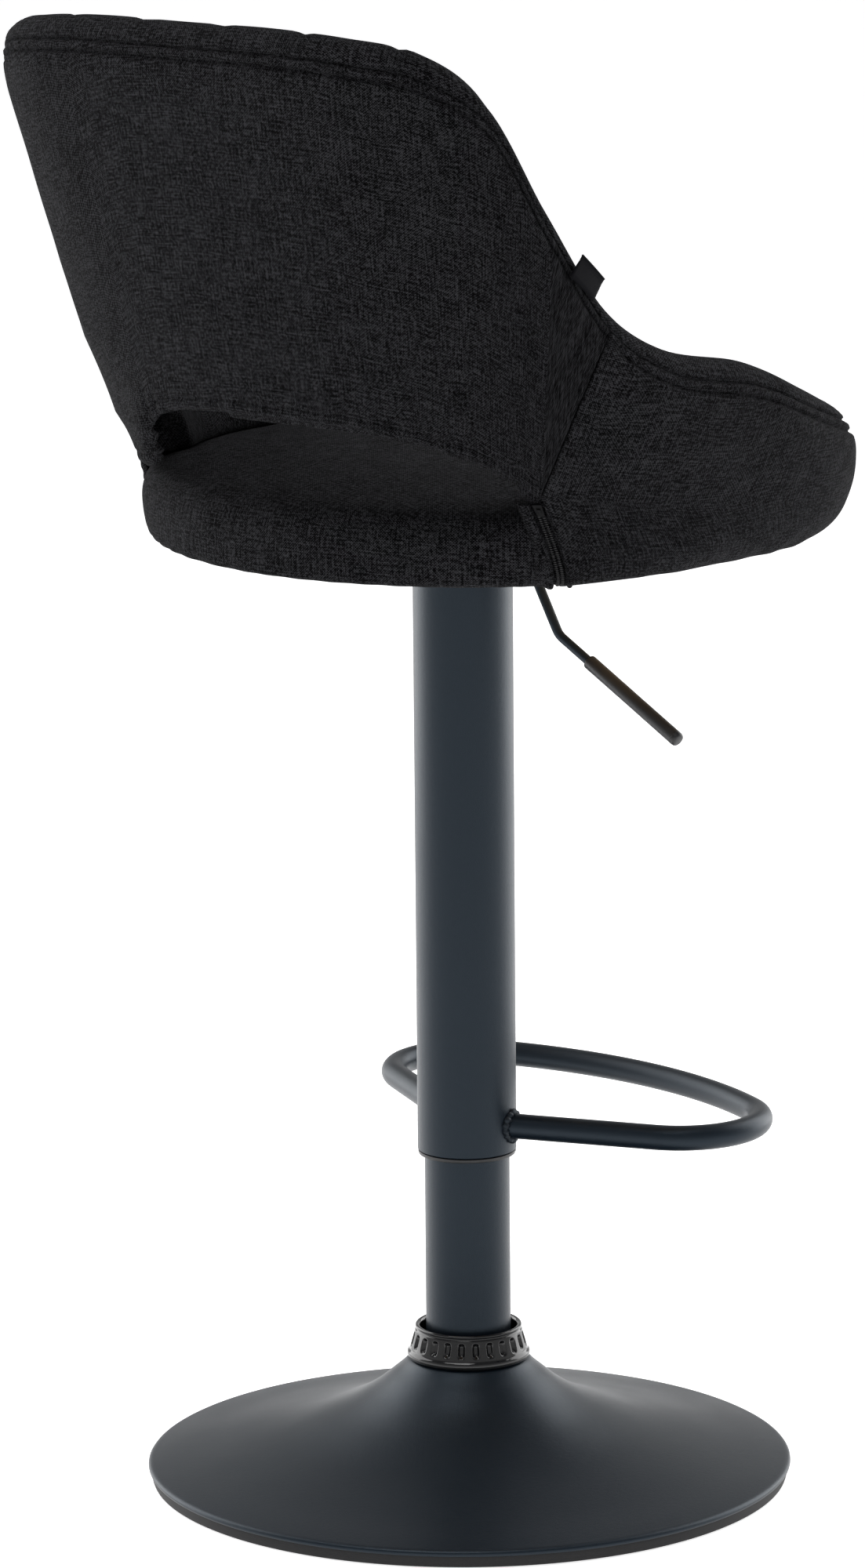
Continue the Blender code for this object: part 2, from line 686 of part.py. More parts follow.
def panel_floor(place):
    """Lower edge of the back panel: the arched hem, then the slanted seam."""
    reach = fold(place)
    if reach < CORNER_PLACE:
        return HEM_TOP - (HEM_TOP - CORNER_HEIGHT) * (reach / CORNER_PLACE) ** 3
    rise = (reach - CORNER_PLACE) / (SEAM_END_PLACE - CORNER_PLACE)
    return CORNER_HEIGHT + (rim_seam(SEAM_END_PLACE) - CORNER_HEIGHT) * rise


def skirt_edge(height):
    """Place of the skirt's back edge at a height: the zip below, the slanted seam above."""
    if height < CORNER_HEIGHT:
        rise = (height - SEAT_BOTTOM) / (CORNER_HEIGHT - SEAT_BOTTOM)
        return ZIP_END_PLACE + (CORNER_PLACE - ZIP_END_PLACE) * rise
    rise = (height - CORNER_HEIGHT) / (rim_seam(SEAM_END_PLACE) - CORNER_HEIGHT)
    return CORNER_PLACE + (SEAM_END_PLACE - CORNER_PLACE) * rise


def make_panels():
    # outer fabric of the back, from the hem up to the rim seam
    rows = []
    end = SEAM_END_PLACE - 0.012
    for rise in spread(0.0, 1.0, 6):
        row = []
        for place in spread(-end, end, 26):
            floor = panel_floor(place)
            row.append(outside(place, floor + (rim_seam(place) - floor) * rise))
        rows.append(row)
    grid_skin("back_panel", rows, PANEL_THICK, cloth("back_panel"))

    # outer fabric of the front and sides, from the bottom edge up to the rim seam
    rows = []
    top = rim_seam(SEAM_END_PLACE)
    for rise in spread(0.012, 1.0, 7):
        lift = rise ** 1.3
        edge = skirt_edge(SEAT_BOTTOM + (top - SEAT_BOTTOM) * lift) + SEAM_GAP
        row = []
        for place in spread(edge, 2 - edge, 26):
            height = SEAT_BOTTOM + (min(top, rim_seam(place)) - SEAT_BOTTOM) * lift
            row.append(outside(place, height))
        rows.append(row)
    grid_skin("seat_skirt", rows, PANEL_THICK, cloth("seat_skirt"))

    # zips between the back edge of the skirt and the cushion's own cover
    for side, name in ((1, "zip_left"), (-1, "zip_right")):
        rows = []
        for height in spread(SEAT_BOTTOM + 0.0015, CORNER_HEIGHT - 0.004, 5):
            edge = skirt_edge(height) - 0.002
            places = (edge - ZIP_WIDTH, edge - ZIP_WIDTH / 2, edge)
            row = [outside(side * place, height) for place in places]
            rows.append(row if side > 0 else row[::-1])
        grid_skin(name, rows, 0.0028, finish(name, (0.01, 0.01, 0.01), 0.5))

    # sliders, tucked into the corners of the opening
    for side, name in ((1, "slider_left"), (-1, "slider_right")):
        slider = box(name, (0.0050, 0.0080, 0.0050), outside(side * 0.36, 0.6235, 0.013), steel(name))
        slider.rotation_euler = (0.0, 0.0, side * math.radians(40))

    # folded label, sewn into the rim seam on the sitter's right
    tag = box("label_tag", (0.0010, TAG_WIDTH, TAG_HEIGHT), (0, 0, 0), cloth("label_tag"))
    rim = station(-TAG_PLACE)[0]
    tag.rotation_euler = (TAG_TURN, 0.0, 0.0)
    up = Vector((0.0, -math.sin(TAG_TURN), math.cos(TAG_TURN)))
    root = outside(-TAG_PLACE, rim.z - SEAM_DROP)
    tag.location = Vector((root.x - 0.0018, rim.y, rim.z - SEAM_DROP)) + up * (TAG_HEIGHT / 2 + 0.001)


def make_frame():
    # bent board between the outer fabric and the pad of the back
    rows = []
    for rise in spread(0.0, 1.0, 4):
        row = []
        for place in spread(-0.335, 0.335, 18):
            floor = panel_floor(place) + 0.018
            top = station(place)[0].z - 0.044
            row.append(outside(place, floor + (top - floor) * rise, PANEL_THICK + 3 * GAP))
        rows.append(row)
    grid_skin("back_frame", rows, FRAME_THICK, finish("back_frame", (0.45, 0.32, 0.2), 0.7))


def make_pad():
    # foam wall round the bucket, with the roll over the rim
    places = spread(0.0, 2.0, 2 * HALF_STEPS)[:-1]
    section = [
        (None, 0.0), (None, -0.0085), (0.0, -0.0083), (0.0010, -0.0055), (0.0040, -0.0018), (0.0085, 0.0),
        (0.0140, -0.0012), (0.0200, -0.0060), (0.0260, -0.0180), (0.0340, 0.0),
    ]
    rings = []
    for index, (depth, drop) in enumerate(section):
        ring = []
        for place in places:
            rim = station(place)[0]
            side = max(0.0, min(1.0, (fold(place) - 0.37) / 0.04))
            floor = (panel_floor(place) + 0.001) * (1 - side) + CUSHION_EDGE * side
            behind = PANEL_THICK + FRAME_THICK + 8 * GAP
            inset = behind + (PANEL_THICK + 8 * GAP - behind) * side if depth is None else depth
            height = floor if index in (0, len(section) - 1) else max(rim.z + drop, floor + 0.002)
            ring.append(outside(place, height, inset))
        rings.append(ring)
    ring_skin("back_pad", rings, cloth("back_pad"), True)


CUSHION_EDGE = 0.6150


def make_cushion():
    # foam and cover of the seat, crowned, its back edge rounded where it shows
    places = spread(0.0, 2.0, 2 * HALF_STEPS)[:-1]
    levels = [
        (0.0060, SEAT_BOTTOM), (0.0, SEAT_BOTTOM + 0.0015), (0.0, 0.5760), (0.0, 0.5840), (0.0, 0.5940),
        (0.0040, 0.6060), (0.0120, 0.6125), (0.0300, CUSHION_EDGE - GAP), (0.0800, 0.6175), (0.1400, 0.6190),
    ]
    rings = []
    for depth, height in levels:
        ring = []
        for place in places:
            side = max(0.0, min(1.0, (fold(place) - 0.345) / 0.02))
            ring.append(outside(place, height, depth + 0.0072 * side))
        rings.append(ring)
    cushion = ring_skin("seat_cushion", rings, cloth("seat_cushion"), False)

    # plywood board in the underside of the cushion
    plan = [outside(place, SEAT_BOTTOM, 0.016) for place in places]
    board = outline("seat_board", plan, BOARD_THICK, SEAT_BOTTOM, finish("seat_board", (0.5, 0.36, 0.22), 0.7))
    pocket = [outside(place, SEAT_BOTTOM, 0.0155) for place in places]
    boolean(cushion, outline("board_pocket", pocket, 2 * BOARD_THICK + 2 * GAP, SEAT_BOTTOM - BOARD_THICK,
                             None, cutters))
    top = SEAT_BOTTOM + BOARD_THICK
    step = [
        (0.0, top + 0.01), (0.0083, top + 0.01), (0.0083, top - 0.0015), (0.0045, top - 0.0015),
        (0.0045, SEAT_BOTTOM - 0.01), (0.0, SEAT_BOTTOM - 0.01),
    ]
    bores = []
    for x in (-1, 1):
        for y in (-1, 1):
            bore = turned("bore", step, None, 12, False, cutters)
            bore.location = (x * BOLT_SPACING / 2, y * BOLT_SPACING / 2, 0.0)
            bores.append(bore)
    boolean(board, joined("board_bores", bores, None, cutters))


make_base()
make_column()
make_rod()
make_lift()
make_footrest()
make_mechanism()
make_lever()
make_panels()
make_frame()
make_pad()
make_cushion()
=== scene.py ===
"""Looks for a gas-lift bar stool: powder-coated steel stand and a bucket seat in black woven cloth.

Metres, +Z up, the sitter faces -Y, the column's axis is the Z axis.
"""

import math

import bmesh
import bpy
from mathutils import Matrix, Vector, noise


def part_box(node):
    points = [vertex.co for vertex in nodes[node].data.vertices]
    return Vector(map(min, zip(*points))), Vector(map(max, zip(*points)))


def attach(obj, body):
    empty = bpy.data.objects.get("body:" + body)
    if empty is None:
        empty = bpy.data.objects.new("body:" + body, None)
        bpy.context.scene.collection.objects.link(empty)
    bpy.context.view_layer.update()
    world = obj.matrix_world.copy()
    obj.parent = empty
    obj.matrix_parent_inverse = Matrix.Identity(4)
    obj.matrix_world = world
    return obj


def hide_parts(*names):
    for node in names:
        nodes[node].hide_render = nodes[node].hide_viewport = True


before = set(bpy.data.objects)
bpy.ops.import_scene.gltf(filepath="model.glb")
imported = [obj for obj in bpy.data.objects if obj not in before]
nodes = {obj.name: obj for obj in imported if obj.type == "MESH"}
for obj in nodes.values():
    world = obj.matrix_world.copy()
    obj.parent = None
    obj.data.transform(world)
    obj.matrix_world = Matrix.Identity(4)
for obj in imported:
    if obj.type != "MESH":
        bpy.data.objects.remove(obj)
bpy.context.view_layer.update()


# ================================================================ studio
# A pale floor that runs out of view, a white room and three large soft lamps.
# The camera stands behind the stool's right side, a little above the seat.

LENS = 167.36
CAMERA_PLACE = (-2.974, 2.974, 1.290)
CAMERA_PITCH = math.radians(11.67)
CAMERA_ROLL = math.radians(-0.445)
FRAME_SHIFT = -0.02025

eye = bpy.data.objects.new("studio_camera", bpy.data.cameras.new("studio_camera"))
bpy.context.scene.collection.objects.link(eye)
eye.data.sensor_width = 36.0
eye.data.lens = LENS
eye.data.shift_x = FRAME_SHIFT
eye.data.clip_end = 60.0
eye.location = CAMERA_PLACE
level = math.cos(CAMERA_PITCH) * math.sqrt(0.5)
aim = Vector((level, -level, -math.sin(CAMERA_PITCH)))
eye.rotation_mode = "QUATERNION"
eye.rotation_quaternion = (aim.to_track_quat("-Z", "Y").to_matrix()
                           @ Matrix.Rotation(CAMERA_ROLL, 3, "Z")).to_quaternion()
bpy.context.scene.camera = eye
bpy.context.scene.view_settings.view_transform = "Standard"


def put(tree, kind, inputs=None, **settings):
    """A shader node; inputs are values, or outputs of other nodes to link from."""
    made = tree.nodes.new("ShaderNode" + kind)
    for key, value in settings.items():
        setattr(made, key, value)
    for key, value in (inputs or {}).items():
        if isinstance(value, bpy.types.NodeSocket):
            tree.links.new(value, made.inputs[key])
        else:
            made.inputs[key].default_value = value
    return made


def calc(tree, operation, *values):
    """The output of one Math node."""
    return put(tree, "Math", dict(enumerate(values)), operation=operation).outputs[0]


def tint(tree, factor, low, high):
    """A colour between two, by a factor from 0 to 1."""
    inputs = {0: factor, 6: (*low, 1.0), 7: (*high, 1.0)}
    return put(tree, "Mix", inputs, data_type="RGBA").outputs[2]


def plain(name, **values):
    """A material whose surface shader has these sockets set; underscores stand for spaces."""
    made = bpy.data.materials.new(name)
    made.use_nodes = True
    shader = made.node_tree.nodes["Principled BSDF"]
    for key, value in values.items():
        shader.inputs[key.replace("_", " ")].default_value = value
    return made, made.node_tree, shader


def bumps(tree, shader, height, distance, strength=1.0):
    """Feeds a height in units of distance, in metres, to the shader's normal."""
    relief = put(tree, "Bump", {"Height": height, "Distance": distance, "Strength": strength})
    tree.links.new(relief.outputs[0], shader.inputs["Normal"])


def socket(group, name, kind, value=None, output=False):
    """A named input or output of a node group."""
    made = group.interface.new_socket(name, in_out="OUTPUT" if output else "INPUT",
                                      socket_type="NodeSocket" + kind)
    if value is not None:
        made.default_value = value


speckling = bpy.data.node_groups.new("speckle", "ShaderNodeTree")
socket(speckling, "Scale", "Float", 100.0)
socket(speckling, "Detail", "Float", 2.0)
socket(speckling, "Stretch", "Vector", (1.0, 1.0, 1.0))
socket(speckling, "Amount", "Float", output=True)
inlet = speckling.nodes.new("NodeGroupInput").outputs
place = put(speckling, "TexCoord").outputs["Object"]
place = put(speckling, "Mapping", {"Vector": place, "Scale": inlet["Stretch"]}).outputs[0]
spots = put(speckling, "TexNoise", {"Vector": place, "Scale": inlet["Scale"], "Detail": inlet["Detail"]})
speckling.links.new(spots.outputs[0], speckling.nodes.new("NodeGroupOutput").inputs["Amount"])


def speckle(tree, scale, detail=2.0, stretch=(1.0, 1.0, 1.0)):
    """Fine uneven spots over the object's own space, in features per metre."""
    inputs = {"Scale": scale, "Detail": detail, "Stretch": stretch}
    return put(tree, "Group", inputs, node_tree=speckling).outputs[0]


def coat(name, tone, dark, light, shine=None, relief=None, span=(0.0, 1.0), **values):
    """A material whose colour runs from dark to light with a speckle, given as speckle's values.
    shine is a speckle with its lowest and highest roughness, relief a speckle with its height."""
    made, tree, shader = plain(name, **values)
    tree.links.new(tint(tree, speckle(tree, *tone), dark, light), shader.inputs["Base Color"])
    if shine:
        rough = {0: speckle(tree, *shine[0]), 1: span[0], 2: span[1], 3: shine[1], 4: shine[2]}
        tree.links.new(put(tree, "MapRange", rough).outputs[0], shader.inputs["Roughness"])
    if relief:
        bumps(tree, shader, speckle(tree, *relief[0]), relief[1])
    return made


FLOOR_HALF = 24.0
floor_mesh = bpy.data.meshes.new("floor")
floor_mesh.from_pydata([(-FLOOR_HALF, -FLOOR_HALF, 0), (FLOOR_HALF, -FLOOR_HALF, 0),
                        (FLOOR_HALF, FLOOR_HALF, 0), (-FLOOR_HALF, FLOOR_HALF, 0)], [], [(0, 1, 2, 3)])
ground = bpy.data.objects.new("floor", floor_mesh)
bpy.context.scene.collection.objects.link(ground)
ground.location.z = -0.0002
floor_finish = coat("floor_paint", (3.0,), (0.88, 0.88, 0.88), (0.90, 0.90, 0.90), Roughness=0.9,
                    Specular_IOR_Level=0.2, Emission_Strength=0.70, Emission_Color=(1.0, 1.0, 1.0, 1.0))
floor_mesh.materials.append(floor_finish)

room = bpy.data.worlds.new("white_room")
bpy.context.scene.world = room
room.use_nodes = True
air = room.node_tree
upward = put(air, "SeparateXYZ", {0: put(air, "TexCoord").outputs["Generated"]}).outputs[2]
fade = put(air, "MapRange", {0: upward, 1: 0.05, 2: 0.75}).outputs[0]
air.links.new(tint(air, fade, (1.0, 1.0, 1.0), (0.26, 0.26, 0.27)), air.nodes["Background"].inputs["Color"])
air.nodes["Background"].inputs["Strength"].default_value = 0.80


def softbox(name, place, size, power):
    """A large square lamp at a place, turned to the middle of the stool."""
    lamp = bpy.data.lights.new(name, "AREA")
    lamp.shape = "RECTANGLE"
    lamp.size, lamp.size_y = size
    lamp.energy = power
    holder = bpy.data.objects.new(name, lamp)
    bpy.context.scene.collection.objects.link(holder)
    holder.location = place
    holder.rotation_mode = "QUATERNION"
    holder.rotation_quaternion = (Vector((0.0, 0.0, 0.5)) - Vector(place)).to_track_quat("-Z", "Y")


softbox("top_lamp", (-0.1, 0.7, 3.4), (2.0, 2.0), 48.0)
softbox("left_lamp", (2.50, 0.50, 1.1), (2.2, 3.0), 62.0)
softbox("right_lamp", (-0.50, -2.50, 1.1), (2.2, 3.0), 62.0)


# ================================================================ finishes of the metalwork
# Powder coat over steel: a fine grained satin skin, blue-black, baked on after welding, with
# a slow haze that makes it a little lighter and duller in places.

grain = bpy.data.node_groups.new("powder grain", "ShaderNodeTree")
socket(grain, "Coarse", "Float", 420.0)
socket(grain, "Fine", "Float", 2600.0)
socket(grain, "Height", "Float", output=True)
socket(grain, "Haze", "Float", output=True)
inlet = grain.nodes.new("NodeGroupInput").outputs
place = put(grain, "TexCoord").outputs["Object"]
peel = put(grain, "TexNoise", {"Vector": place, "Scale": inlet["Coarse"], "Detail": 1.0}).outputs[0]
grit = put(grain, "TexNoise", {"Vector": place, "Scale": inlet["Fine"], "Detail": 1.0}).outputs[0]
haze = put(grain, "TexNoise", {"Vector": place, "Scale": 9.0, "Detail": 3.0}).outputs[0]
outlet = grain.nodes.new("NodeGroupOutput")
grain.links.new(calc(grain, "MULTIPLY_ADD", peel, 0.6, grit), outlet.inputs["Height"])
grain.links.new(haze, outlet.inputs["Haze"])


def powder(name, dark, light, rough_low, rough_high, relief):
    """Powder coat with its own tone and roughness range."""
    made, tree, shader = plain(name, IOR=1.45, Specular_IOR_Level=0.43, Specular_Tint=(0.70, 0.85, 1.0, 1.0))
    skin = put(tree, "Group", node_tree=grain)
    tree.links.new(tint(tree, skin.outputs["Haze"], dark, light), shader.inputs["Base Color"])
    rough = put(tree, "MapRange", {0: skin.outputs["Haze"], 1: 0.3, 2: 0.7, 3: rough_low, 4: rough_high})
    tree.links.new(rough.outputs[0], shader.inputs["Roughness"])
    bumps(tree, shader, skin.outputs["Height"], relief)
    return made


powder_coat = powder("powder_coat", (0.0022, 0.0046, 0.0080), (0.0036, 0.0068, 0.0112), 0.34, 0.42, 0.00008)


def finish_nodes(material, *names):
    """Gives CAD nodes that show as they are a material."""
    for name in names:
        for entry in nodes[name].material_slots:
            entry.material = material


# ================================================================ weighted base
# Trumpet pressed from sheet steel and powder coated. Its rim is rolled over a rubber ring,
# and a cast disc and a foam underlay sit inside.

TRUMPET = [
    (0.0290, 0.0722), (0.0325, 0.0724), (0.0360, 0.0714), (0.0400, 0.0675), (0.0450, 0.0632),
    (0.0600, 0.0512), (0.0800, 0.0400), (0.1100, 0.0286), (0.1500, 0.0186), (0.1800, 0.0127),
    (0.1890, 0.0109),
]
TRUMPET_RIM = [(0.1907, 0.0105), (0.1918, 0.0099), (0.1924, 0.0091), (0.1925, 0.0083), (0.1922, 0.0074),
               (0.1914, 0.0069), (0.1908, 0.0074), (0.1906, 0.0084)]


def eased(points, steps):
    """A smooth line through points of any dimension."""
    points = [Vector(point) for point in points]
    ends = [points[0] * 2 - points[1]] + points + [points[-1] * 2 - points[-2]]
    line = []
    for a, b, c, d in zip(ends, ends[1:], ends[2:], ends[3:]):
        for step in range(steps):
            t = step / steps
            line.append(0.5 * (2 * b + (c - a) * t + (2 * a - 5 * b + 4 * c - d) * t ** 2
                               + (3 * b - a - 3 * c + d) * t ** 3))
    return line + [points[-1]]


def show(name, mesh, material, angle=40.0):
    """A new piece, smooth but for edges sharper than the angle."""
    mesh.materials.append(material)
    mesh.shade_smooth()
    mesh.set_sharp_from_angle(angle=math.radians(angle))
    piece = bpy.data.objects.new(name, mesh)
    bpy.context.scene.collection.objects.link(piece)
    return piece


def weave_rings(name, rings, closed_rings=True, closed_rows=False):
    """A mesh of quads over rows of points, closed either way if asked."""
    mesh = bpy.data.meshes.new(name)
    bm = bmesh.new()
    grid = [[bm.verts.new(point) for point in ring] for ring in rings]
    count = len(rings[0])
    for row in range(len(grid) if closed_rows else len(grid) - 1):
        lower, upper = grid[row], grid[(row + 1) % len(grid)]
        for column in range(count if closed_rings else count - 1):
            after = (column + 1) % count
            bm.faces.new((lower[column], lower[after], upper[after], upper[column]))
    bmesh.ops.remove_doubles(bm, verts=bm.verts, dist=0.000001)
    bmesh.ops.recalc_face_normals(bm, faces=bm.faces)
    bm.to_mesh(mesh)
    bm.free()
    return mesh


def turned(name, profile, material, steps=128, looped=True, angle=40.0):
    """A profile of (radius, height) turned about the column's axis."""
    rings = []
    for radius, height in profile:
        turns = [2 * math.pi * step / steps for step in range(steps)]
        rings.append([(radius * math.cos(turn), radius * math.sin(turn), height) for turn in turns])
    return show(name, weave_rings(name, rings, True, looped), material, angle)


outer_skin = [tuple(point) for point in eased(TRUMPET, 6)] + TRUMPET_RIM
inner_skin = [(radius - 0.0006, height - 0.0015) for radius, height in reversed(TRUMPET[2:])]
inner_skin.append((0.0290, 0.0707))
trumpet = turned("trumpet_base", outer_skin + inner_skin, powder_coat, 224)
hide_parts("base_cover")
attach(trumpet, "base")

rubber = coat("ring_rubber", (700.0,), (0.006, 0.006, 0.007), (0.013, 0.013, 0.014),
              relief=((1800.0,), 0.00006), Roughness=0.62, Specular_IOR_Level=0.35)
RING = [(0.1898, 0.0080), (0.1902, 0.0060), (0.1903, 0.0016), (0.1899, 0.0005), (0.1890, 0.0),
        (0.1815, 0.0), (0.1810, 0.0006), (0.1810, 0.0085)]
foot_ring = turned("rubber_ring", RING, rubber, 192)
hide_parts("edge_ring")
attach(foot_ring, "base")

underlay = coat("foam_underlay", (900.0, 4.0), (0.012, 0.012, 0.012), (0.045, 0.045, 0.045),
                relief=((1400.0, 4.0), 0.0003), Roughness=0.95, Specular_IOR_Level=0.1)
finish_nodes(underlay, "base_underlay")

casting = coat("raw_casting", (160.0, 5.0), (0.05, 0.05, 0.05), (0.13, 0.12, 0.115),
               relief=((500.0, 4.0), 0.0004), Roughness=0.75, Metallic=0.6)
finish_nodes(casting, "ballast_plate")


# ================================================================ swivel collar
# One gloss black moulding with a flared lip round the column, a conical skirt with a row of
# oblong finger recesses, and a flange that covers the hole in the trumpet.

RECESSES = 24
RECESS_STEPS = 22
RECESS_HALF_WIDTH = 0.0027
RECESS_HALF_HEIGHT = 0.0048
RECESS_DEPTH = 0.0021
RECESS_LEVEL = 0.0836
COLLAR = [
    (0.0290, 0.0912), (0.0296, 0.0922), (0.0304, 0.0926), (0.0312, 0.0925), (0.0317, 0.0920),
    (0.0318, 0.0914), (0.0314, 0.0907), (0.0313, 0.0901), (0.0317, 0.0896),
]
COLLAR_FLANGE = [
    (0.0353, 0.0776), (0.0357, 0.0771), (0.0363, 0.0766), (0.0367, 0.0759), (0.0367, 0.0741),
    (0.0363, 0.0731), (0.0356, 0.0727), (0.0300, 0.0727), (0.0290, 0.0732), (0.0287, 0.0880),
]

gloss_plastic = coat("gloss_moulding", (60.0,), (0.0035, 0.0036, 0.0040), (0.0055, 0.0057, 0.0062),
                     ((220.0, 3.0), 0.07, 0.16), ((150.0, 1.0), 0.00012), (0.35, 0.75), IOR=1.49)

slope = []
for step in range(45):
    t = step / 44
    slope.append((0.0320 + (0.0352 - 0.0320) * t, 0.0893 + (0.0779 - 0.0893) * t))
turns = [2 * math.pi * step / (RECESSES * RECESS_STEPS) for step in range(RECESSES * RECESS_STEPS)]
rings = []
for radius, height in COLLAR + slope + COLLAR_FLANGE:
    ring = []
    for turn in turns:
        inset = 0.0
        if 0.0779 < height < 0.0893:
            nearest = round(turn * RECESSES / (2 * math.pi) - 0.5) + 0.5
            across = (turn - nearest * 2 * math.pi / RECESSES) * radius / RECESS_HALF_WIDTH
            along = (height - RECESS_LEVEL) / RECESS_HALF_HEIGHT
            away = (abs(across) ** 2.6 + abs(along) ** 4.5) ** (1 / 3.2)
            bank = min(1.0, max(0.0, (away - 0.30) / 0.70))
            inset = RECESS_DEPTH * (1 - bank ** 2) ** 2 if away < 1 else 0.0
        ring.append(((radius - inset) * math.cos(turn), (radius - inset) * math.sin(turn), height))
    rings.append(ring)
collar = show("swivel_collar", weave_rings("swivel_collar", rings, True, True), gloss_plastic, 60.0)
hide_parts("collar_ring")
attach(collar, "base")


# ================================================================ fixed column
# Powder-coated tube that stands in the base, with its turned fittings, guide bush and bearing.

def ring_tube(radius, wall, bottom, top, edge=0.0006):
    """Profile of a tube with softened ends."""
    inner = radius - wall
    return [
        (radius - edge, top), (radius, top - edge), (radius, bottom + edge), (radius - edge, bottom),
        (inner, bottom), (inner, top),
    ]


fixed_tube = turned("fixed_tube", ring_tube(0.0253, 0.0015, 0.0125, 0.430), powder_coat, 144)
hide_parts("lower_column")
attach(fixed_tube, "base")

zinc = coat("zinc_plate", (120.0, 3.0), (0.50, 0.50, 0.49), (0.68, 0.68, 0.66),
            ((300.0, 3.0), 0.28, 0.45), ((1500.0,), 0.00005), Metallic=1.0)
finish_nodes(zinc, "foot_washer", "foot_nut", "valve_button", "lever_pin", "column_cap",
             *["plate_bolt_%d" % number for number in range(1, 5)],
             *["board_tnut_%d" % number for number in range(1, 5)])

RINGS_CUT = (900.0, 1.0, (0.02, 0.02, 1.0))
lathed = coat("lathe_steel", RINGS_CUT, (0.42, 0.42, 0.43), (0.58, 0.58, 0.59),
              (RINGS_CUT, 0.25, 0.42), (RINGS_CUT, 0.00004), Metallic=1.0)
finish_nodes(lathed, "base_socket", "column_foot", "thrust_bearing", "race_washer")

satin_plastic = coat("satin_moulding", (90.0,), (0.0060, 0.0063, 0.0070), (0.0095, 0.0100, 0.0112),
                     ((420.0, 3.0), 0.33, 0.46), ((2200.0, 1.0), 0.00005), (0.3, 0.7), IOR=1.49)
finish_nodes(satin_plastic, "guide_bush", "piston", "cylinder_seal")


# ================================================================ gas spring
# Hard-chromed rod that stands in the column, and the black cylinder that rides up it.

chrome = coat("hard_chrome", (40.0,), (0.62, 0.63, 0.65), (0.70, 0.71, 0.73),
              ((500.0, 2.0, (1.0, 1.0, 0.1)), 0.06, 0.16), Metallic=1.0)
finish_nodes(chrome, "piston_rod")
finish_nodes(rubber, "bump_stop")

lacquer = coat("cylinder_lacquer", (70.0,), (0.006, 0.006, 0.007), (0.011, 0.011, 0.012),
               ((300.0, 2.0, (1.0, 1.0, 0.05)), 0.22, 0.34), Specular_IOR_Level=0.5)
finish_nodes(lacquer, "gas_cylinder")


# ================================================================ sliding column
# Wide powder-coated tube that rises with the seat. A black nylon glide is pressed into its
# lower end and shows as a thin lip.

sliding_tube = turned("sliding_tube", ring_tube(0.0294, 0.0015, 0.2005, 0.5530, 0.0005), powder_coat, 160)
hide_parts("outer_column")
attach(sliding_tube, "upper")

GLIDE = [
    (0.0276, 0.2180), (0.0276, 0.2002), (0.0287, 0.2002), (0.0291, 0.1999), (0.0291, 0.1987),
    (0.0287, 0.1979), (0.0280, 0.1977), (0.0262, 0.1977), (0.0258, 0.1981), (0.0258, 0.2180),
]
glide = turned("column_lip", GLIDE, satin_plastic, 144)
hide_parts("column_glide")
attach(glide, "upper")


# ================================================================ footrest
# One round tube bent into a D and fillet-welded to the sliding column at both ends, then
# powder coated with it. The weld runs as a rough rippled bead round each end.

FOOT_HEIGHT = 0.2165
FOOT_TUBE = 0.0075
FOOT_REACH = 0.157
FOOT_HALF_WIDTH = 0.135
FOOT_CORNER_AT = 0.092
FOOT_CORNER = 0.048
ARM_ANGLE = math.radians(64.5)
COLUMN_RADIUS = 0.0294
WELD_RADIUS = 0.0024
WELD_RIPPLES = 15


def sweep(name, path, radii, material, sides=24, flats=None, capped=True, angle=40.0):
    """A round section along a path, with one radius or one per point; flats squeezes each section."""
    path = [Vector(point) for point in path]
    if not hasattr(radii, "__len__"):
        radii = [radii] * len(path)
    across = None
    rings = []
    for index, point in enumerate(path):
        before, after = path[max(0, index - 1)], path[min(len(path) - 1, index + 1)]
        along = (after - before).normalized()
        if across is None:
            across = along.orthogonal().normalized() if abs(along.z) > 0.9 else Vector((0, 0, 1))
        across = (across - along * across.dot(along)).normalized()
        beside = along.cross(across)
        squeeze = flats[index] if flats else (1.0, 1.0)
        ring = []
        for side in range(sides):
            turn = 2 * math.pi * side / sides
            ring.append(point + radii[index] * (across * (squeeze[0] * math.cos(turn))
                                                + beside * (squeeze[1] * math.sin(turn))))
        rings.append(ring)
    if capped:
        rings = [[path[0]] * sides] + rings + [[path[-1]] * sides]
    return show(name, weave_rings(name, rings), material, angle)


along = Vector((math.cos(ARM_ANGLE), math.sin(ARM_ANGLE)))
inward = Vector((along.y, -along.x))
corner = Vector((FOOT_CORNER_AT, FOOT_HALF_WIDTH - FOOT_CORNER))
bend = corner - inward * FOOT_CORNER
start = bend - along * (bend.dot(along) - math.sqrt((COLUMN_RADIUS - 0.0010) ** 2 - bend.dot(inward) ** 2))
offset = FOOT_REACH - FOOT_CORNER_AT
front_radius = (FOOT_CORNER ** 2 - offset ** 2 - corner.y ** 2) / (2 * (FOOT_CORNER - offset))
front_centre = Vector((FOOT_REACH - front_radius, 0.0))
touch = (corner - front_centre).angle(Vector((1.0, 0.0)))
half = [start.lerp(bend, step / 16) for step in range(16)]
first = math.atan2(-inward.y, -inward.x)
for step in range(37):
    turn = first + (touch - first) * step / 36
    half.append(corner + FOOT_CORNER * Vector((math.cos(turn), math.sin(turn))))
for step in range(1, 33):
    turn = touch * (1 - step / 32)
    half.append(front_centre + front_radius * Vector((math.cos(turn), math.sin(turn))))
loop = [(side, -forward, FOOT_HEIGHT) for forward, side in half]
loop += [(-side, -forward, FOOT_HEIGHT) for forward, side in reversed(half[:-1])]
footrest = sweep("footrest_hoop", loop, FOOT_TUBE, powder_coat, 40)
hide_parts("footrest_bar")
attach(footrest, "upper")

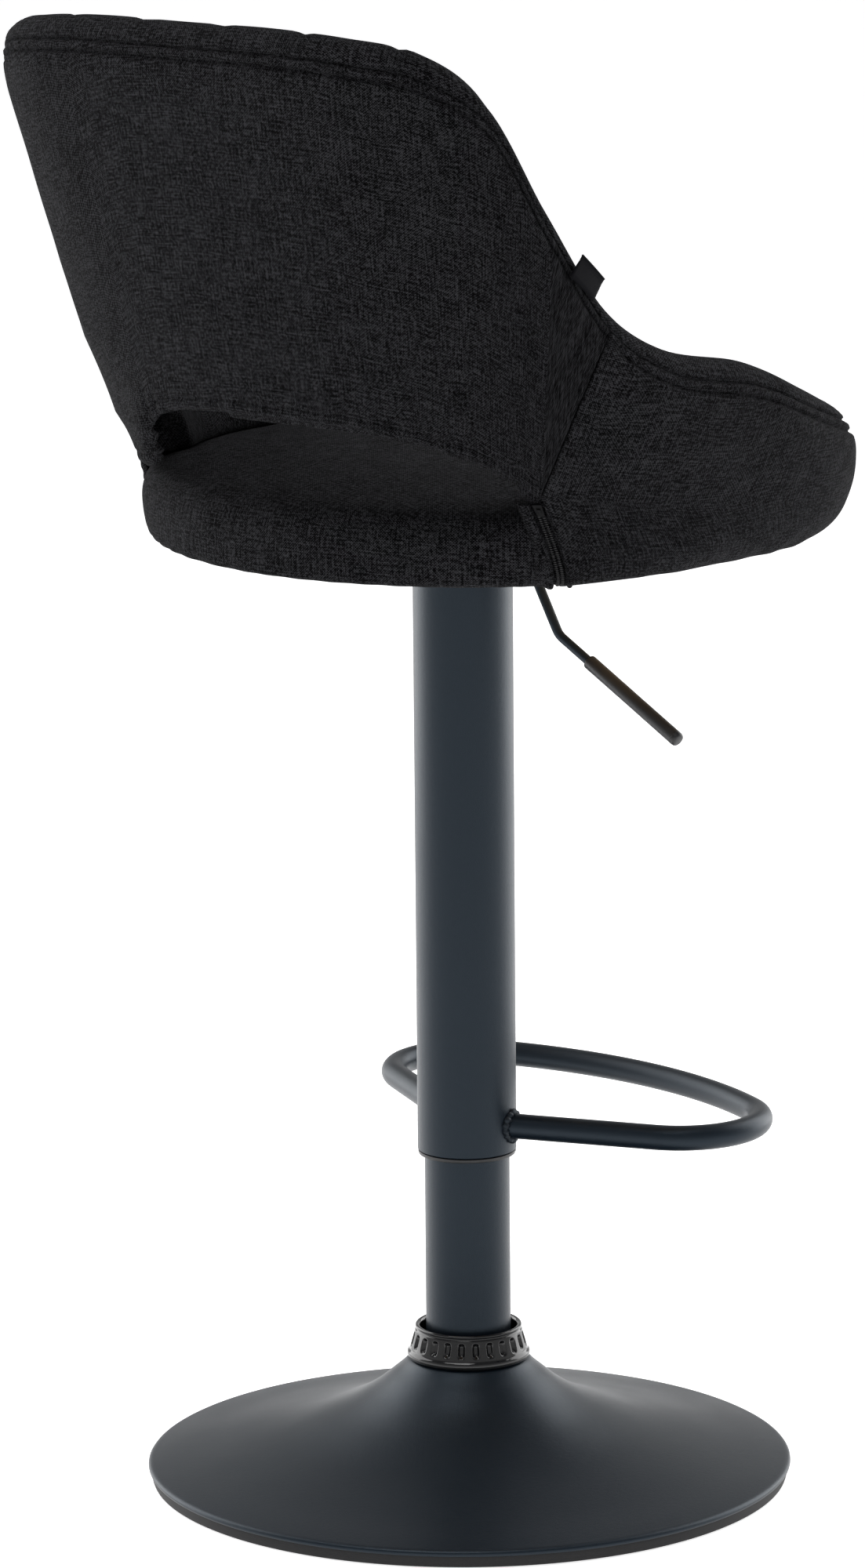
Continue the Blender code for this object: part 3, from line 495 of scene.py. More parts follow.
weld_coat = powder("weld_coat", (0.0035, 0.0045, 0.0060), (0.0085, 0.0105, 0.0135), 0.34, 0.60, 0.00022)
for side, name in ((1.0, "left_weld"), (-1.0, "right_weld")):
    out = Vector((side * math.sin(ARM_ANGLE), -math.cos(ARM_ANGLE), 0.0))
    up = Vector((0.0, 0.0, 1.0))
    beside = out.cross(up)
    middle = Vector((side * start.y, -start.x, FOOT_HEIGHT))
    middle -= out * middle.dot(out)
    rings = []
    for step in range(120):
        turn = 2 * math.pi * step / 120
        spoke = up * math.cos(turn) + beside * math.sin(turn)
        rim = middle + spoke * FOOT_TUBE
        reach = math.sqrt(COLUMN_RADIUS ** 2 - (rim - up * rim.z).length_squared)
        root = rim + out * reach
        swell = WELD_RADIUS * (1.0 + 0.16 * math.sin(turn * WELD_RIPPLES)
                               + 0.5 * noise.noise(root * 260.0 + Vector((9.0 * side, 0.0, 0.0))))
        ring = []
        for lap in range(18):
            roll = 2 * math.pi * lap / 18
            knob = 1.0 + 0.22 * noise.noise((root + spoke * 0.002 * math.sin(roll)) * 900.0)
            ring.append(root + (spoke * math.cos(roll) + out * math.sin(roll)) * swell * knob * 0.86
                        + spoke * 0.0006 + out * 0.0002)
        rings.append(ring)
    bead = show(name + "_bead", weave_rings(name + "_bead", rings, True, True), weld_coat, 70.0)
    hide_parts(name)
    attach(bead, "upper")


# ================================================================ seat fittings
# Pressed plate, hub and lever channel, welded together and powder coated, bolted to a board.

finish_nodes(powder_coat, "seat_plate", "hub_sleeve", "lever_bracket")

FIGURE = (26.0, 6.0, (1.0, 9.0, 1.0))
plywood = coat("birch_ply", FIGURE, (0.34, 0.22, 0.12), (0.56, 0.40, 0.25),
               relief=(FIGURE, 0.0003), Roughness=0.7, Specular_IOR_Level=0.25)
finish_nodes(plywood, "seat_board", "back_frame")


# ================================================================ release lever
# Bent steel rod, flattened where it leaves the fittings, with a push-on nylon grip.

LEVER_TOP = 0.5594
LEVER_ROD = 0.00275
LEVER_ROUTE = [(0.0040, 0.0, LEVER_TOP), (-0.0560, 0.0, LEVER_TOP - 0.0010),
               (-0.0785, 0.0, 0.5205), (-0.1720, 0.0, 0.4716)]

route = [Vector(LEVER_ROUTE[0])]
for before, turning, after in zip(LEVER_ROUTE, LEVER_ROUTE[1:], LEVER_ROUTE[2:]):
    turning = Vector(turning)
    back = (Vector(before) - turning).normalized()
    onward = (Vector(after) - turning).normalized()
    reach = 0.012 / math.tan(back.angle(onward) / 2)
    lead = (turning + back * reach - route[-1])
    route += [route[-1] + lead * step / 14 for step in range(1, 14)]
    for step in range(15):
        t = step / 14
        route.append((turning + back * reach) * (1 - t) ** 2 + turning * (2 * t * (1 - t))
                     + (turning + onward * reach) * t ** 2)
route += [route[-1].lerp(Vector(LEVER_ROUTE[3]), step / 20) for step in range(1, 21)]
flats = []
for point in route:
    flat = max(0.0, min(1.0, (point.z - 0.519) / 0.010)) * max(0.0, min(1.0, (-0.050 - point.x) / 0.006))
    flats.append((1.0 - 0.16 * flat, 1.0 + 0.20 * flat))
lever = sweep("release_lever", route, LEVER_ROD, powder_coat, 28, flats)
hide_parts("lever_rod")
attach(lever, "lever")

inner, outer = Vector(LEVER_ROUTE[2]), Vector(LEVER_ROUTE[3])
axis = (outer - inner).normalized()
end = outer + axis * 0.0016
sections = [
    (0.0, 0.0), (0.0, 0.0030), (0.0004, 0.0037), (0.0012, 0.0042), (0.0024, 0.0043), (0.0026, 0.00405),
    (0.0030, 0.00405), (0.0032, 0.0043), (0.0400, 0.00425), (0.0790, 0.0043), (0.0796, 0.0041),
    (0.0800, 0.0036), (0.0800, 0.0028),
]
grip = sweep("lever_grip_sleeve", [end - axis * distance for distance, radius in sections],
             [max(radius, 0.00001) for distance, radius in sections], satin_plastic, 40, None, False)
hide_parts("lever_grip")
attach(grip, "lever")


# ================================================================ woven cloth
# Black linen-look polyester: a coarse plain weave with thick and thin yarns both ways, over
# foam. The cloth runs in metres on each panel's own map, so the yarns follow the panel.

weave = bpy.data.node_groups.new("plain weave", "ShaderNodeTree")
socket(weave, "Yarn", "Float", 0.00078)
socket(weave, "Slub", "Float", 0.5)
socket(weave, "Tone", "Float", output=True)
socket(weave, "Height", "Float", output=True)
inlet = weave.nodes.new("NodeGroupInput").outputs
flat_place = put(weave, "UVMap", uv_map="cloth").outputs[0]
drift = put(weave, "TexNoise", {"Vector": flat_place, "Scale": 55.0, "Detail": 2.0}).outputs["Color"]
drift = put(weave, "VectorMath", {0: drift, 1: (0.5, 0.5, 0.5)}, operation="SUBTRACT").outputs[0]
drift = put(weave, "VectorMath", {0: drift, "Scale": 0.0016}, operation="SCALE").outputs[0]
drawn = put(weave, "VectorMath", {0: flat_place, 1: drift}, operation="ADD").outputs[0]
axes = put(weave, "SeparateXYZ", {0: drawn}).outputs
turns_of = [calc(weave, "MULTIPLY", calc(weave, "DIVIDE", axes[way], inlet["Yarn"]), math.pi)
            for way in (0, 1)]
ribs = [calc(weave, "SINE", turn) for turn in turns_of]
over = calc(weave, "MULTIPLY", ribs[0], ribs[1])
domes = calc(weave, "POWER", calc(weave, "ABSOLUTE", over), 0.6)
knots = put(weave, "TexNoise", {"Vector": flat_place, "Scale": 600.0, "Detail": 2.5}).outputs[0]
slubs = []
for stretch in ((60.0, 1120.0, 1.0), (1120.0, 60.0, 1.0)):
    along_yarn = put(weave, "Mapping", {"Vector": flat_place, "Scale": stretch}).outputs[0]
    slubs.append(put(weave, "TexNoise", {"Vector": along_yarn, "Scale": 1.0, "Detail": 2.0}).outputs[0])
uneven = calc(weave, "SUBTRACT", calc(weave, "ADD", slubs[0], slubs[1]), 1.0)
patches = put(weave, "TexNoise", {"Vector": flat_place, "Scale": 38.0, "Detail": 3.0}).outputs[0]
depth = put(weave, "MapRange", {0: patches, 1: 0.3, 2: 0.7, 3: 0.34, 4: 0.58}).outputs[0]
# Painted sheen: cells with the warp on top are painted lighter and cells with the weft on top darker, in
# place of the light the yarns catch; depth sets how strong this painted sheen is, patch by patch
tone = calc(weave, "MULTIPLY_ADD", over, depth, 0.34)
tone = calc(weave, "MULTIPLY_ADD", calc(weave, "SUBTRACT", knots, 0.5), 2.8, tone)
tone = calc(weave, "MULTIPLY_ADD", calc(weave, "MULTIPLY", uneven, inlet["Slub"]), 3.6, tone)
tone = calc(weave, "MULTIPLY_ADD", calc(weave, "SUBTRACT", patches, 0.5), 0.35, tone)
outlet = weave.nodes.new("NodeGroupOutput")
weave.links.new(put(weave, "Clamp", {0: tone}).outputs[0], outlet.inputs["Tone"])
weave.links.new(calc(weave, "MULTIPLY_ADD", uneven, 0.9, domes), outlet.inputs["Height"])


def upholstery(name, dark, light, slub=0.5, relief=0.00035):
    """Cloth between two colours; slub is how uneven its yarns look."""
    made, tree, shader = plain(name, Roughness=0.96, Specular_IOR_Level=0.05)
    cloth = put(tree, "Group", {"Slub": slub}, node_tree=weave)
    tree.links.new(tint(tree, cloth.outputs["Tone"], dark, light), shader.inputs["Base Color"])
    bumps(tree, shader, cloth.outputs["Height"], relief)
    return made


black_cloth = upholstery("black_cloth", (0.0007, 0.0007, 0.0009), (0.0370, 0.0370, 0.0405))


# ================================================================ the seat's shape
# Half the rim of the bucket as side, depth and height, from the middle of the back to the
# middle of the front, and the wall below it down to the board.

SEAT_CENTRE_Y = -0.020
SEAT_BOTTOM = 0.5700
SEAT_WIDEST = 0.588
BACK_POWER = 2.0
FRONT_POWER = 2.5
WIDEST_OVAL = (0.2070, 0.196, 0.202)
BOTTOM_OVAL = (0.1960, 0.1965, 0.190)
WAIST_HEIGHT = 0.617
WAIST_HALF = 0.028
WAIST_DEPTH = 0.005
SHOULDER_HEIGHT = 0.036
FRONT_TUCK = 0.019
TUCK_TOP = 0.628
TUCK_HEIGHT = 0.058
SEAM_DROP = 0.0125
CORNER_PLACE = 0.419
CORNER_HEIGHT = 0.6230
SEAM_END_PLACE = 0.500
ZIP_END_PLACE = 0.455
ZIP_TOP_PLACE = 0.408
CUSHION_EDGE = 0.6150
RIM = [
    (0.000, 0.238, 0.887), (0.070, 0.236, 0.887), (0.127, 0.228, 0.884), (0.174, 0.206, 0.876),
    (0.199, 0.175, 0.851), (0.208, 0.137, 0.792), (0.213, 0.092, 0.733), (0.216, 0.040, 0.703),
    (0.214, -0.030, 0.689), (0.203, -0.087, 0.670), (0.169, -0.141, 0.653), (0.100, -0.181, 0.642),
    (0.000, -0.196, 0.637),
]
mirrored = [(-RIM[1][0], *RIM[1][1:])] + RIM + [(-RIM[-2][0], *RIM[-2][1:])]
RIM_FINE = 64
ASKEW = 0.11
rim_line = [tuple(point) for point in eased(mirrored, RIM_FINE)][RIM_FINE:-RIM_FINE]


def fold(place):
    """Place on the half seat, 0 at the back and 1 at the front."""
    place = abs(place)
    return place if place <= 1 else 2 - place


def station(place):
    """Rim point and plan direction at a place round the seat: 0 back, 1 front, then back to 2."""
    side = place - 2 if place > 1 else place
    at = abs(side) * (len(rim_line) - 1)
    index = min(int(at), len(rim_line) - 2)
    rim = Vector(rim_line[index]).lerp(Vector(rim_line[index + 1]), at - index)
    rim.x = math.copysign(rim.x, side)
    rim.z -= ASKEW * rim.x * max(0.0, rim.z - 0.80)
    return rim, Vector((rim.x, rim.y - SEAT_CENTRE_Y)).normalized()


def oval(direction, half_width, back, front):
    """Distance from the seat's centre to an oval round it that reaches unlike far back and front."""
    reach = back if direction.y > 0 else front
    power = BACK_POWER if direction.y > 0 else FRONT_POWER
    total = abs(direction.x / half_width) ** power + abs(direction.y / reach) ** power
    return total ** (-1 / power)


def wall(place, height):
    """Point of the seat's outside at a place round it and a height."""
    rim, direction = station(place)
    widest = oval(direction, *WIDEST_OVAL)
    if height < SEAT_WIDEST:
        drop = (SEAT_WIDEST - height) / (SEAT_WIDEST - SEAT_BOTTOM)
        bottom = oval(direction, *BOTTOM_OVAL)
        distance = bottom + (widest - bottom) * math.sqrt(max(0.0, 1 - drop ** 2))
    else:
        rise = min(1.0, (height - SEAT_WIDEST) / (rim.z - SEAT_WIDEST))
        top = math.hypot(rim.x, rim.y - SEAT_CENTRE_Y)
        if top > widest:
            waist = max(0.0, 1 - ((height - WAIST_HEIGHT) / WAIST_HALF) ** 2)
            waist *= min(1.0, (top - widest) / 0.010)
            distance = widest + (top - widest) * rise ** 0.92 - WAIST_DEPTH * waist
        else:
            distance = top + (widest - top) * math.sqrt(1 - rise ** 2)
        zone = min(SHOULDER_HEIGHT, (rim.z - SEAT_WIDEST) / 2)
        into = max(0.0, 1 - (rim.z - height) / zone)
        distance -= zone / 3 * min(1.0, into) ** 2
    front = max(0.0, min(1.0, (fold(place) - 0.46) / 0.20))
    distance -= FRONT_TUCK * front * max(0.0, (TUCK_TOP - height) / TUCK_HEIGHT) ** 1.9
    return Vector((direction.x * distance, SEAT_CENTRE_Y + direction.y * distance, height))


def inside(place, height, inset):
    """The wall moved in on the level so that a layer square to it would be inset thick."""
    step = 0.002
    point = wall(place, height)
    ahead = wall(place + step, height) - wall(place - step, height)
    outward = Vector((-ahead.y, ahead.x, 0.0)).normalized()
    if outward.dot(point - Vector((0.0, SEAT_CENTRE_Y, height))) < 0:
        outward = -outward
    lean = (wall(place, height + step) - wall(place, height - step)).dot(outward) / (2 * step)
    return point - outward * inset * min(1.5, math.hypot(1.0, lean))


def straight_out(point):
    """The level way out of the seat at a point."""
    return Vector((point.x, point.y - SEAT_CENTRE_Y, 0.0)).normalized()


def rim_seam(place):
    """Height of the seam below the rim at a place round the seat."""
    return station(place)[0].z - SEAM_DROP


HEM = [
    (-0.419, 0.6230), (-0.376, 0.6335), (-0.288, 0.6475), (-0.216, 0.6565), (-0.140, 0.6635),
    (-0.056, 0.6645), (-0.004, 0.6650), (0.048, 0.6622), (0.084, 0.6572), (0.106, 0.6510), (0.124, 0.6410),
    (0.146, 0.6290), (0.180, 0.6200), (0.230, 0.6155), (0.300, 0.6135), (0.385, 0.6135), (0.419, 0.6230),
]


def panel_floor(place):
    """Lower edge of the back panel: the arched hem, lopsided about the middle, then the slanted seam."""
    reach = fold(place)
    if reach < CORNER_PLACE:
        for (left, low), (right, high) in zip(HEM, HEM[1:]):
            if place <= right:
                t = (place - left) / (right - left)
                return low + (high - low) * (0.5 - 0.5 * math.cos(math.pi * t)) * 0.5 + (high - low) * t * 0.5
    rise = (reach - CORNER_PLACE) / (SEAM_END_PLACE - CORNER_PLACE)
    return CORNER_HEIGHT + (rim_seam(SEAM_END_PLACE) - CORNER_HEIGHT) * rise


def zip_line(height):
    """Place of the zip's middle line at a height; it bows towards the front on its way down."""
    rise = max(0.0, min(1.0, (height - SEAT_BOTTOM) / (CORNER_HEIGHT - SEAT_BOTTOM)))
    return ZIP_END_PLACE + (ZIP_TOP_PLACE - ZIP_END_PLACE) * rise ** 1.5


def skirt_edge(height):
    """Place of the skirt's back edge at a height: along the zip, then along the slanted seam."""
    if height < CORNER_HEIGHT:
        return zip_line(height) + 0.0085 + 0.0045 * (height - SEAT_BOTTOM) / (CORNER_HEIGHT - SEAT_BOTTOM)
    rise = (height - CORNER_HEIGHT) / (rim_seam(SEAM_END_PLACE) - CORNER_HEIGHT)
    return CORNER_PLACE + (SEAM_END_PLACE - CORNER_PLACE) * rise


def ladder(length, fine, count):
    """Distances from 0 to a length: even fine steps near both ends, wider ones between."""
    half_count = count // 2
    edge_steps = half_count // 2
    edge = min(fine * edge_steps, length * 0.25)
    lower = [edge * step / edge_steps for step in range(edge_steps)]
    left = half_count - edge_steps
    lower += [edge + (length / 2 - edge) * (step / left) ** 1.15 for step in range(left)]
    return lower + [length / 2] + [length - distance for distance in reversed(lower)]


def groove(distance, width):
    """1 on a seam, falling to 0 a few widths away."""
    return math.exp(-(distance / width) ** 2)


def ripple(point, size, seed=0.0):
    """Slow unevenness from -1 to 1, with features about this size."""
    return noise.noise(point / size + Vector((seed, 1.7 * seed, -seed)))


def map_cloth(rows):
    """Maps a grid of points in metres: across along its middle row, upwards along each column."""
    count = len(rows[0])
    middle = rows[len(rows) // 2]
    across = [0.0]
    for before, after in zip(middle, middle[1:] + middle[:1]):
        across.append(across[-1] + (after - before).length)
    up = [[0.0] * count]
    for below, above in zip(rows, rows[1:] + rows[:1]):
        up.append([height + (b - a).length for height, a, b in zip(up[-1], below, above)])
    return across, up


def cloth_grid(name, rows, material, looped=False, closed=False, thick=0.0, angle=80.0, level_from=None):
    """Cloth over rows of points, looped round the seat and closed on itself if asked. Rows from
    level_from on are mapped flat, as cloth laid over the top of the seat."""
    across, up = map_cloth(rows)
    mesh = bpy.data.meshes.new(name)
    count = len(rows[0])
    points = [point for row in rows for point in row]
    faces, places = [], []
    for row in range(len(rows) if closed else len(rows) - 1):
        for column in range(count if looped else count - 1):
            after, above = (column + 1) % count, (row + 1) % len(rows)
            faces.append((row * count + column, row * count + after,
                          above * count + after, above * count + column))
            if level_from is not None and row >= level_from:
                corners = rows[row][column], rows[row][after], rows[above][after], rows[above][column]
                places += [(corner[0], corner[1]) for corner in corners]
                continue
            places += [(across[column], up[row][column]), (across[column + 1], up[row][after]),
                       (across[column + 1], up[row + 1][after]), (across[column], up[row + 1][column])]
    mesh.from_pydata(points, [], faces)
    layer = mesh.uv_layers.new(name="cloth")
    layer.uv.foreach_set("vector", [value for place in places for value in place])
    bm = bmesh.new()
    bm.from_mesh(mesh)
    bmesh.ops.recalc_face_normals(bm, faces=bm.faces)
    bm.to_mesh(mesh)
    bm.free()
    piece = show(name, mesh, material, angle)
    if thick:
        skin = piece.modifiers.new("cloth", "SOLIDIFY")
        skin.thickness = thick
        skin.offset = -1.0
    return piece


# ================================================================ seat cushion
# Moulded foam on the board under one cover: crowned inside the bucket, rounded over its back
# edge where it shows in the opening, its cloth stapled under the board. Mapped flat on top.

SEAT_STEPS = 240
CUSHION_SHOULDER = 0.030
ZIP_STEP = 0.0072
ZIP_STEP_WIDTH = 0.014
CUSHION_REACH = 0.165
CUSHION_SIDE = [
    (0.0160, 0.5702), (0.0100, 0.5700), (0.0060, 0.5700), (0.0030, 0.5706), (0.0012, 0.5720),
    (0.0003, 0.5745), (0.0, 0.5780), (0.0, 0.5830), (0.0, 0.5885), (0.0002, 0.5940), (0.0014, 0.5995),
    (0.0038, 0.6045), (0.0076, 0.6092), (0.0130, 0.6127), (0.0200, 0.6152), (0.0300, 0.6176),
    (0.0430, 0.6200), (0.0580, 0.6222), (0.0760, 0.6243), (0.0980, 0.6261), (0.1220, 0.6274),
    (0.1450, 0.6281), (0.1640, 0.6284),
]
rows = []
for index, (depth, height) in enumerate(CUSHION_SIDE):
    row = []
    for step in range(SEAT_STEPS):
        place = 2.0 * step / SEAT_STEPS
        side = max(0.0, min(1.0, (fold(place) - zip_line(height) + ZIP_STEP_WIDTH) / ZIP_STEP_WIDTH))
        side = side * side * (3 - 2 * side)
        point = inside(place, height, min(depth, CUSHION_SHOULDER) + ZIP_STEP * side)
        inward = max(0.0, depth - CUSHION_SHOULDER) / CUSHION_REACH
        point = point.lerp(Vector((0.0, SEAT_CENTRE_Y, height)), inward)
        loose = 0.0007 * ripple(point, 0.045, 3.0) + 0.0004 * ripple(point, 0.017, 5.0)
        tucked = 0.0007 * math.sin(place * 150 + 2 * ripple(point, 0.08, 2.0))
        tucked *= groove(height - CUSHION_SIDE[0][1], 0.006)
        centre = Vector((0.0, SEAT_CENTRE_Y, height))
        outward = (point - centre).normalized() if index < 14 else Vector((0.0, 0.0, 1.0))
        row.append(point + outward * (loose + tucked - 0.0005))
    rows.append(row)
shrink = rows[-1]
middle = sum((Vector(point) for point in shrink), Vector()) / len(shrink)
rows += [[point.lerp(middle, part) for point in shrink] for part in (0.35, 0.7, 0.93, 0.9985)]
cushion = cloth_grid("seat_cushion_cover", rows, black_cloth, looped=True, thick=0.0012, level_from=12)
smoother = cushion.modifiers.new("smooth", "SUBSURF")
smoother.levels = smoother.render_levels = 1
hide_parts("seat_cushion")
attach(cushion, "upper")


# ================================================================ inside of the bucket
# Foam wall round the sitter under one cover: it rolls over the rim, is stitched in upright
# channels down the back, and turns under at the opening to meet the outer panel's hem.

CHANNEL_PITCH = 0.066
PAD_TOP = [
    (0.0012, -0.0125), (0.0002, -0.0118), (-0.0002, -0.0105), (0.0, -0.0083), (0.0004, -0.0066),
    (0.0014, -0.0046), (0.0030, -0.0026), (0.0052, -0.0010), (0.0080, -0.0002), (0.0110, -0.0004),
    (0.0142, -0.0014), (0.0172, -0.0034), (0.0198, -0.0062), (0.0222, -0.0100), (0.0242, -0.0142),
    (0.0260, -0.0190),
]
PAD_BOTTOM = [
    (0.0340, 0.0110), (0.0338, 0.0078), (0.0330, 0.0048), (0.0314, 0.0024), (0.0290, 0.0008),
    (0.0258, 0.0001), (0.0210, 0.0), (0.0160, 0.0), (0.0110, 0.0), (0.0068, 0.0002), (0.0044, 0.0010),
    (0.0038, 0.0040),
]
PAD_ROWS = 34
PAD_EASING = 14
places = [2.0 * step / SEAT_STEPS for step in range(SEAT_STEPS)]
columns = []
travelled = [0.0]
for before, after in zip(places, places[1:] + [2.0]):
    travelled.append(travelled[-1] + (station(after)[0] - station(before)[0]).length)
for number, place in enumerate(places):
    rim = station(place)[0]
    reach = fold(place)
    side = max(0.0, min(1.0, (reach - 0.37) / 0.04))
    arch = 0.6610 - 0.0370 * (min(reach, CORNER_PLACE) / CORNER_PLACE) ** 3
    arch = max(arch, panel_floor(place) + 0.0005) if place > 1 or place < 0.07 else arch
    floor = arch * (1 - side) + CUSHION_EDGE * side
    floor = min(floor, rim.z - 0.016)
    column = [(depth, max(rim.z + drop, floor + 0.002)) for depth, drop in PAD_TOP]
    length = column[-1][1] - (floor + PAD_BOTTOM[0][1])
    for step in range(1, PAD_ROWS):
        t = step / PAD_ROWS
        column.append((0.0260 + (0.0340 - 0.0260) * t, column[len(PAD_TOP) - 1][1] - max(0.0, length) * t))
    column += [(depth, floor + min(rise, max(0.0, rim.z - 0.012 - floor))) for depth, rise in PAD_BOTTOM]
    for step in range(1, 5):
        column.append((0.0038, floor + 0.004 + max(0.0, rim_seam(place) - 0.003 - floor - 0.004) * step / 4))
    along = travelled[number] if place <= 1 else travelled[-1] - travelled[number]
    channel = abs(along / CHANNEL_PITCH - 0.5 - round(along / CHANNEL_PITCH - 0.5)) * CHANNEL_PITCH
    inner_part = max(0.0, min(1.0, (0.40 - reach) / 0.03))
    made = []
    for index, (depth, height) in enumerate(column):
        point = inside(place, height, depth)
        on_inside = 5 < index < len(PAD_TOP) + PAD_ROWS + 4
        sunk = 0.0
        if on_inside:
            fade = min(1.0, max(0.0, (index - 5) / 9)) * inner_part
            sunk = fade * (0.0042 * groove(channel, 0.0034) + 0.0030 * groove(channel, 0.014) - 0.0018)
            sunk -= 0.0005 * ripple(point, 0.05, 8.0)
        notch = 0.0012 * groove(channel, 0.004) * inner_part * groove(index - 8, 4.0)
        pucker = 0.0004 * math.sin(along * 2 * math.pi / 0.0125 + 3 * ripple(point, 0.06))
        pucker *= groove(index, 4.0)
        made.append((point, straight_out(point) * (sunk + pucker) - Vector((0.0, 0.0, notch))))
    columns.append(made)
rows = []
for index in range(len(columns[0])):
    level = [column[index][0] for column in columns]
    for _ in range(PAD_EASING if 9 < index < len(PAD_TOP) + PAD_ROWS + 5 else 0):
        level = [(level[at - 1] + 2 * point + level[(at + 1) % SEAT_STEPS]) / 4
                 for at, point in enumerate(level)]
    rows.append([point + column[index][1] for point, column in zip(level, columns)])
pad = cloth_grid("bucket_padding", rows, black_cloth, looped=True, closed=True)
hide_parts("back_pad")
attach(pad, "upper")


# ================================================================ outer back panel
# Cloth drawn tight over the shell, sewn to the padding along the rim and hemmed round the arch.
# The rim seam is topstitched, so the panel dips twice below it.

SEAM_DEPTH = 0.0024
SEAM_SWELL = 0.0005
STITCH_DROP = 0.0072
SLACK_PLACE = 0.150
PULLED_FROM = 0.12
PULLED_TO = 0.44
PULLED_HEIGHT = 0.640
PULLED_IN = 0.0035


def panel_point(place, height, top, floor):
    """A point of the back panel: seams, pulled cloth, slack folds and a drawn-in flank on one side."""
    point = inside(place, height, 0.0)
    from_top, from_floor = top - height, height - floor
    reach = fold(place)
    out = -SEAM_DEPTH * groove(from_top, 0.0018) - SEAM_DEPTH * groove(from_top - STITCH_DROP, 0.0013)
    out += SEAM_SWELL * groove(from_top - 0.0027, 0.0012) - SEAM_DEPTH * groove(from_floor, 0.0016)
    if reach < CORNER_PLACE:
        out -= 0.0011 * groove(from_floor - 0.0075, 0.0011)
    pulled = groove(from_top - 0.006, 0.010) + 0.8 * groove(from_floor - 0.006, 0.012)
    slack = groove(place - SLACK_PLACE, 0.050) * groove(from_floor, 0.016)
    out += slack * (0.0016 * math.sin(place * 330 + 60 * from_floor) - 0.0012)
    out += 0.00045 * pulled * math.sin(place * 290 + 4 * ripple(point, 0.05, 1.0))
    out += 0.0008 * ripple(point, 0.075, 4.0) + 0.0003 * ripple(point, 0.022, 6.0)
    if PULLED_FROM < place < PULLED_TO:
        level_part = max(0.0, 1 - ((height - PULLED_HEIGHT) / 0.050) ** 2)
        out -= PULLED_IN * level_part * min(1.0, (PULLED_TO - place) / 0.06, (place - PULLED_FROM) / 0.05)
    return point + straight_out(point) * out


PANEL_STEPS = 360
columns = []
for step in range(PANEL_STEPS + 1):
    place = (2 * step / PANEL_STEPS - 1) * (SEAM_END_PLACE - 0.0008)
    top, floor = rim_seam(place), panel_floor(place)
    rises = ladder(top - floor, 0.00075, 92)
    columns.append([panel_point(place, floor + rise, top, floor) for rise in rises])
rows = [[column[index] for column in columns] for index in range(len(columns[0]))]
panel = cloth_grid("outer_back_panel", rows, black_cloth, thick=0.0022)
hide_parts("back_panel")
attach(panel, "upper")


# ================================================================ front and side panel
# One piece of the same cloth from zip to zip, sewn to the rim and to the slanted edges of the
# back panel, then pulled under the board and stapled, which gathers its lower edge.

def skirt_point(place, height, top, edge_gap):
    """A point of the side panel: seams, pulled cloth and the gathers along its lower edge."""
    point = inside(place, height, 0.0)
    from_top = top - height
    out = -SEAM_DEPTH * groove(from_top, 0.0018) - SEAM_DEPTH * groove(from_top - STITCH_DROP, 0.0013)
    out += SEAM_SWELL * groove(from_top - 0.0027, 0.0012) - 0.0015 * groove(edge_gap, 0.0016)
    out += 0.0009 * groove(height - SEAT_BOTTOM, 0.010) * math.sin(place * 105 + 3 * ripple(point, 0.07, 2.0))
    out += 0.0004 * groove(from_top - 0.006, 0.010) * math.sin(place * 270 + 4 * ripple(point, 0.05, 1.0))
    out += 0.0009 * ripple(point, 0.080, 9.0) + 0.0004 * ripple(point, 0.024, 6.0)
    return point + straight_out(point) * out


SKIRT_STEPS = 300
SKIRT_ROWS = 84
HALF_ROUND = 0.62
skirt_top = rim_seam(SEAM_END_PLACE)
rows = []
for row_step in range(SKIRT_ROWS + 1):
    lift = 1 - (1 - row_step / SKIRT_ROWS) ** 1.25
    level = SEAT_BOTTOM + (skirt_top - SEAT_BOTTOM) * lift
    edge = skirt_edge(level)
    row = []
    for step in range(SKIRT_STEPS + 1):
        t = step / SKIRT_STEPS
        place = edge + (2 - 2 * edge) * t
        top = min(skirt_top, rim_seam(place))
        height = SEAT_BOTTOM + (top - SEAT_BOTTOM) * lift
        edge_gap = min(place - edge, 2 - edge - place) * HALF_ROUND
        row.append(skirt_point(place, height, top, edge_gap))
    rows.append(row)
under = []
for depth, rise in ((0.017, -0.0004), (0.010, -0.0006), (0.0045, -0.0004), (0.0014, 0.0003)):
    row = []
    for step in range(SKIRT_STEPS + 1):
        place = skirt_edge(SEAT_BOTTOM) + (2 - 2 * skirt_edge(SEAT_BOTTOM)) * step / SKIRT_STEPS
        row.append(inside(place, SEAT_BOTTOM, depth) + Vector((0.0, 0.0, rise)))
    under.append(row)
skirt = cloth_grid("front_side_panel", under + rows[1:], black_cloth, thick=0.0022)
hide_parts("seat_skirt")
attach(skirt, "upper")


# ================================================================ zips
# A coil zip closes the cover on each side, between the cushion and the side panel. Two rows of
# nylon coil lie sunk between two folded edges of the cloth, under a lacquered slider.

ZIP_TOP = CORNER_HEIGHT - 0.004
TOOTH_PITCH = 0.00125

nylon = coat("nylon_coil", (600.0,), (0.006, 0.006, 0.0065), (0.014, 0.014, 0.015),
             ((900.0,), 0.22, 0.38), IOR=1.53)


def zip_frame(side, height):
    """A point of the zip's middle line, the way across it and the way out of it."""
    place = side * zip_line(height)
    point = inside(place, height, 0.0012)
    across = (inside(place + side * 0.004, height, 0.0012) - point).normalized()
    upward = (inside(side * zip_line(height + 0.002), height + 0.002, 0.0012) - point).normalized()
    out = across.cross(upward)
    if out.dot(Vector((point.x, point.y - SEAT_CENTRE_Y, 0.0))) < 0:
        out = -out
    return point, across, upward, out


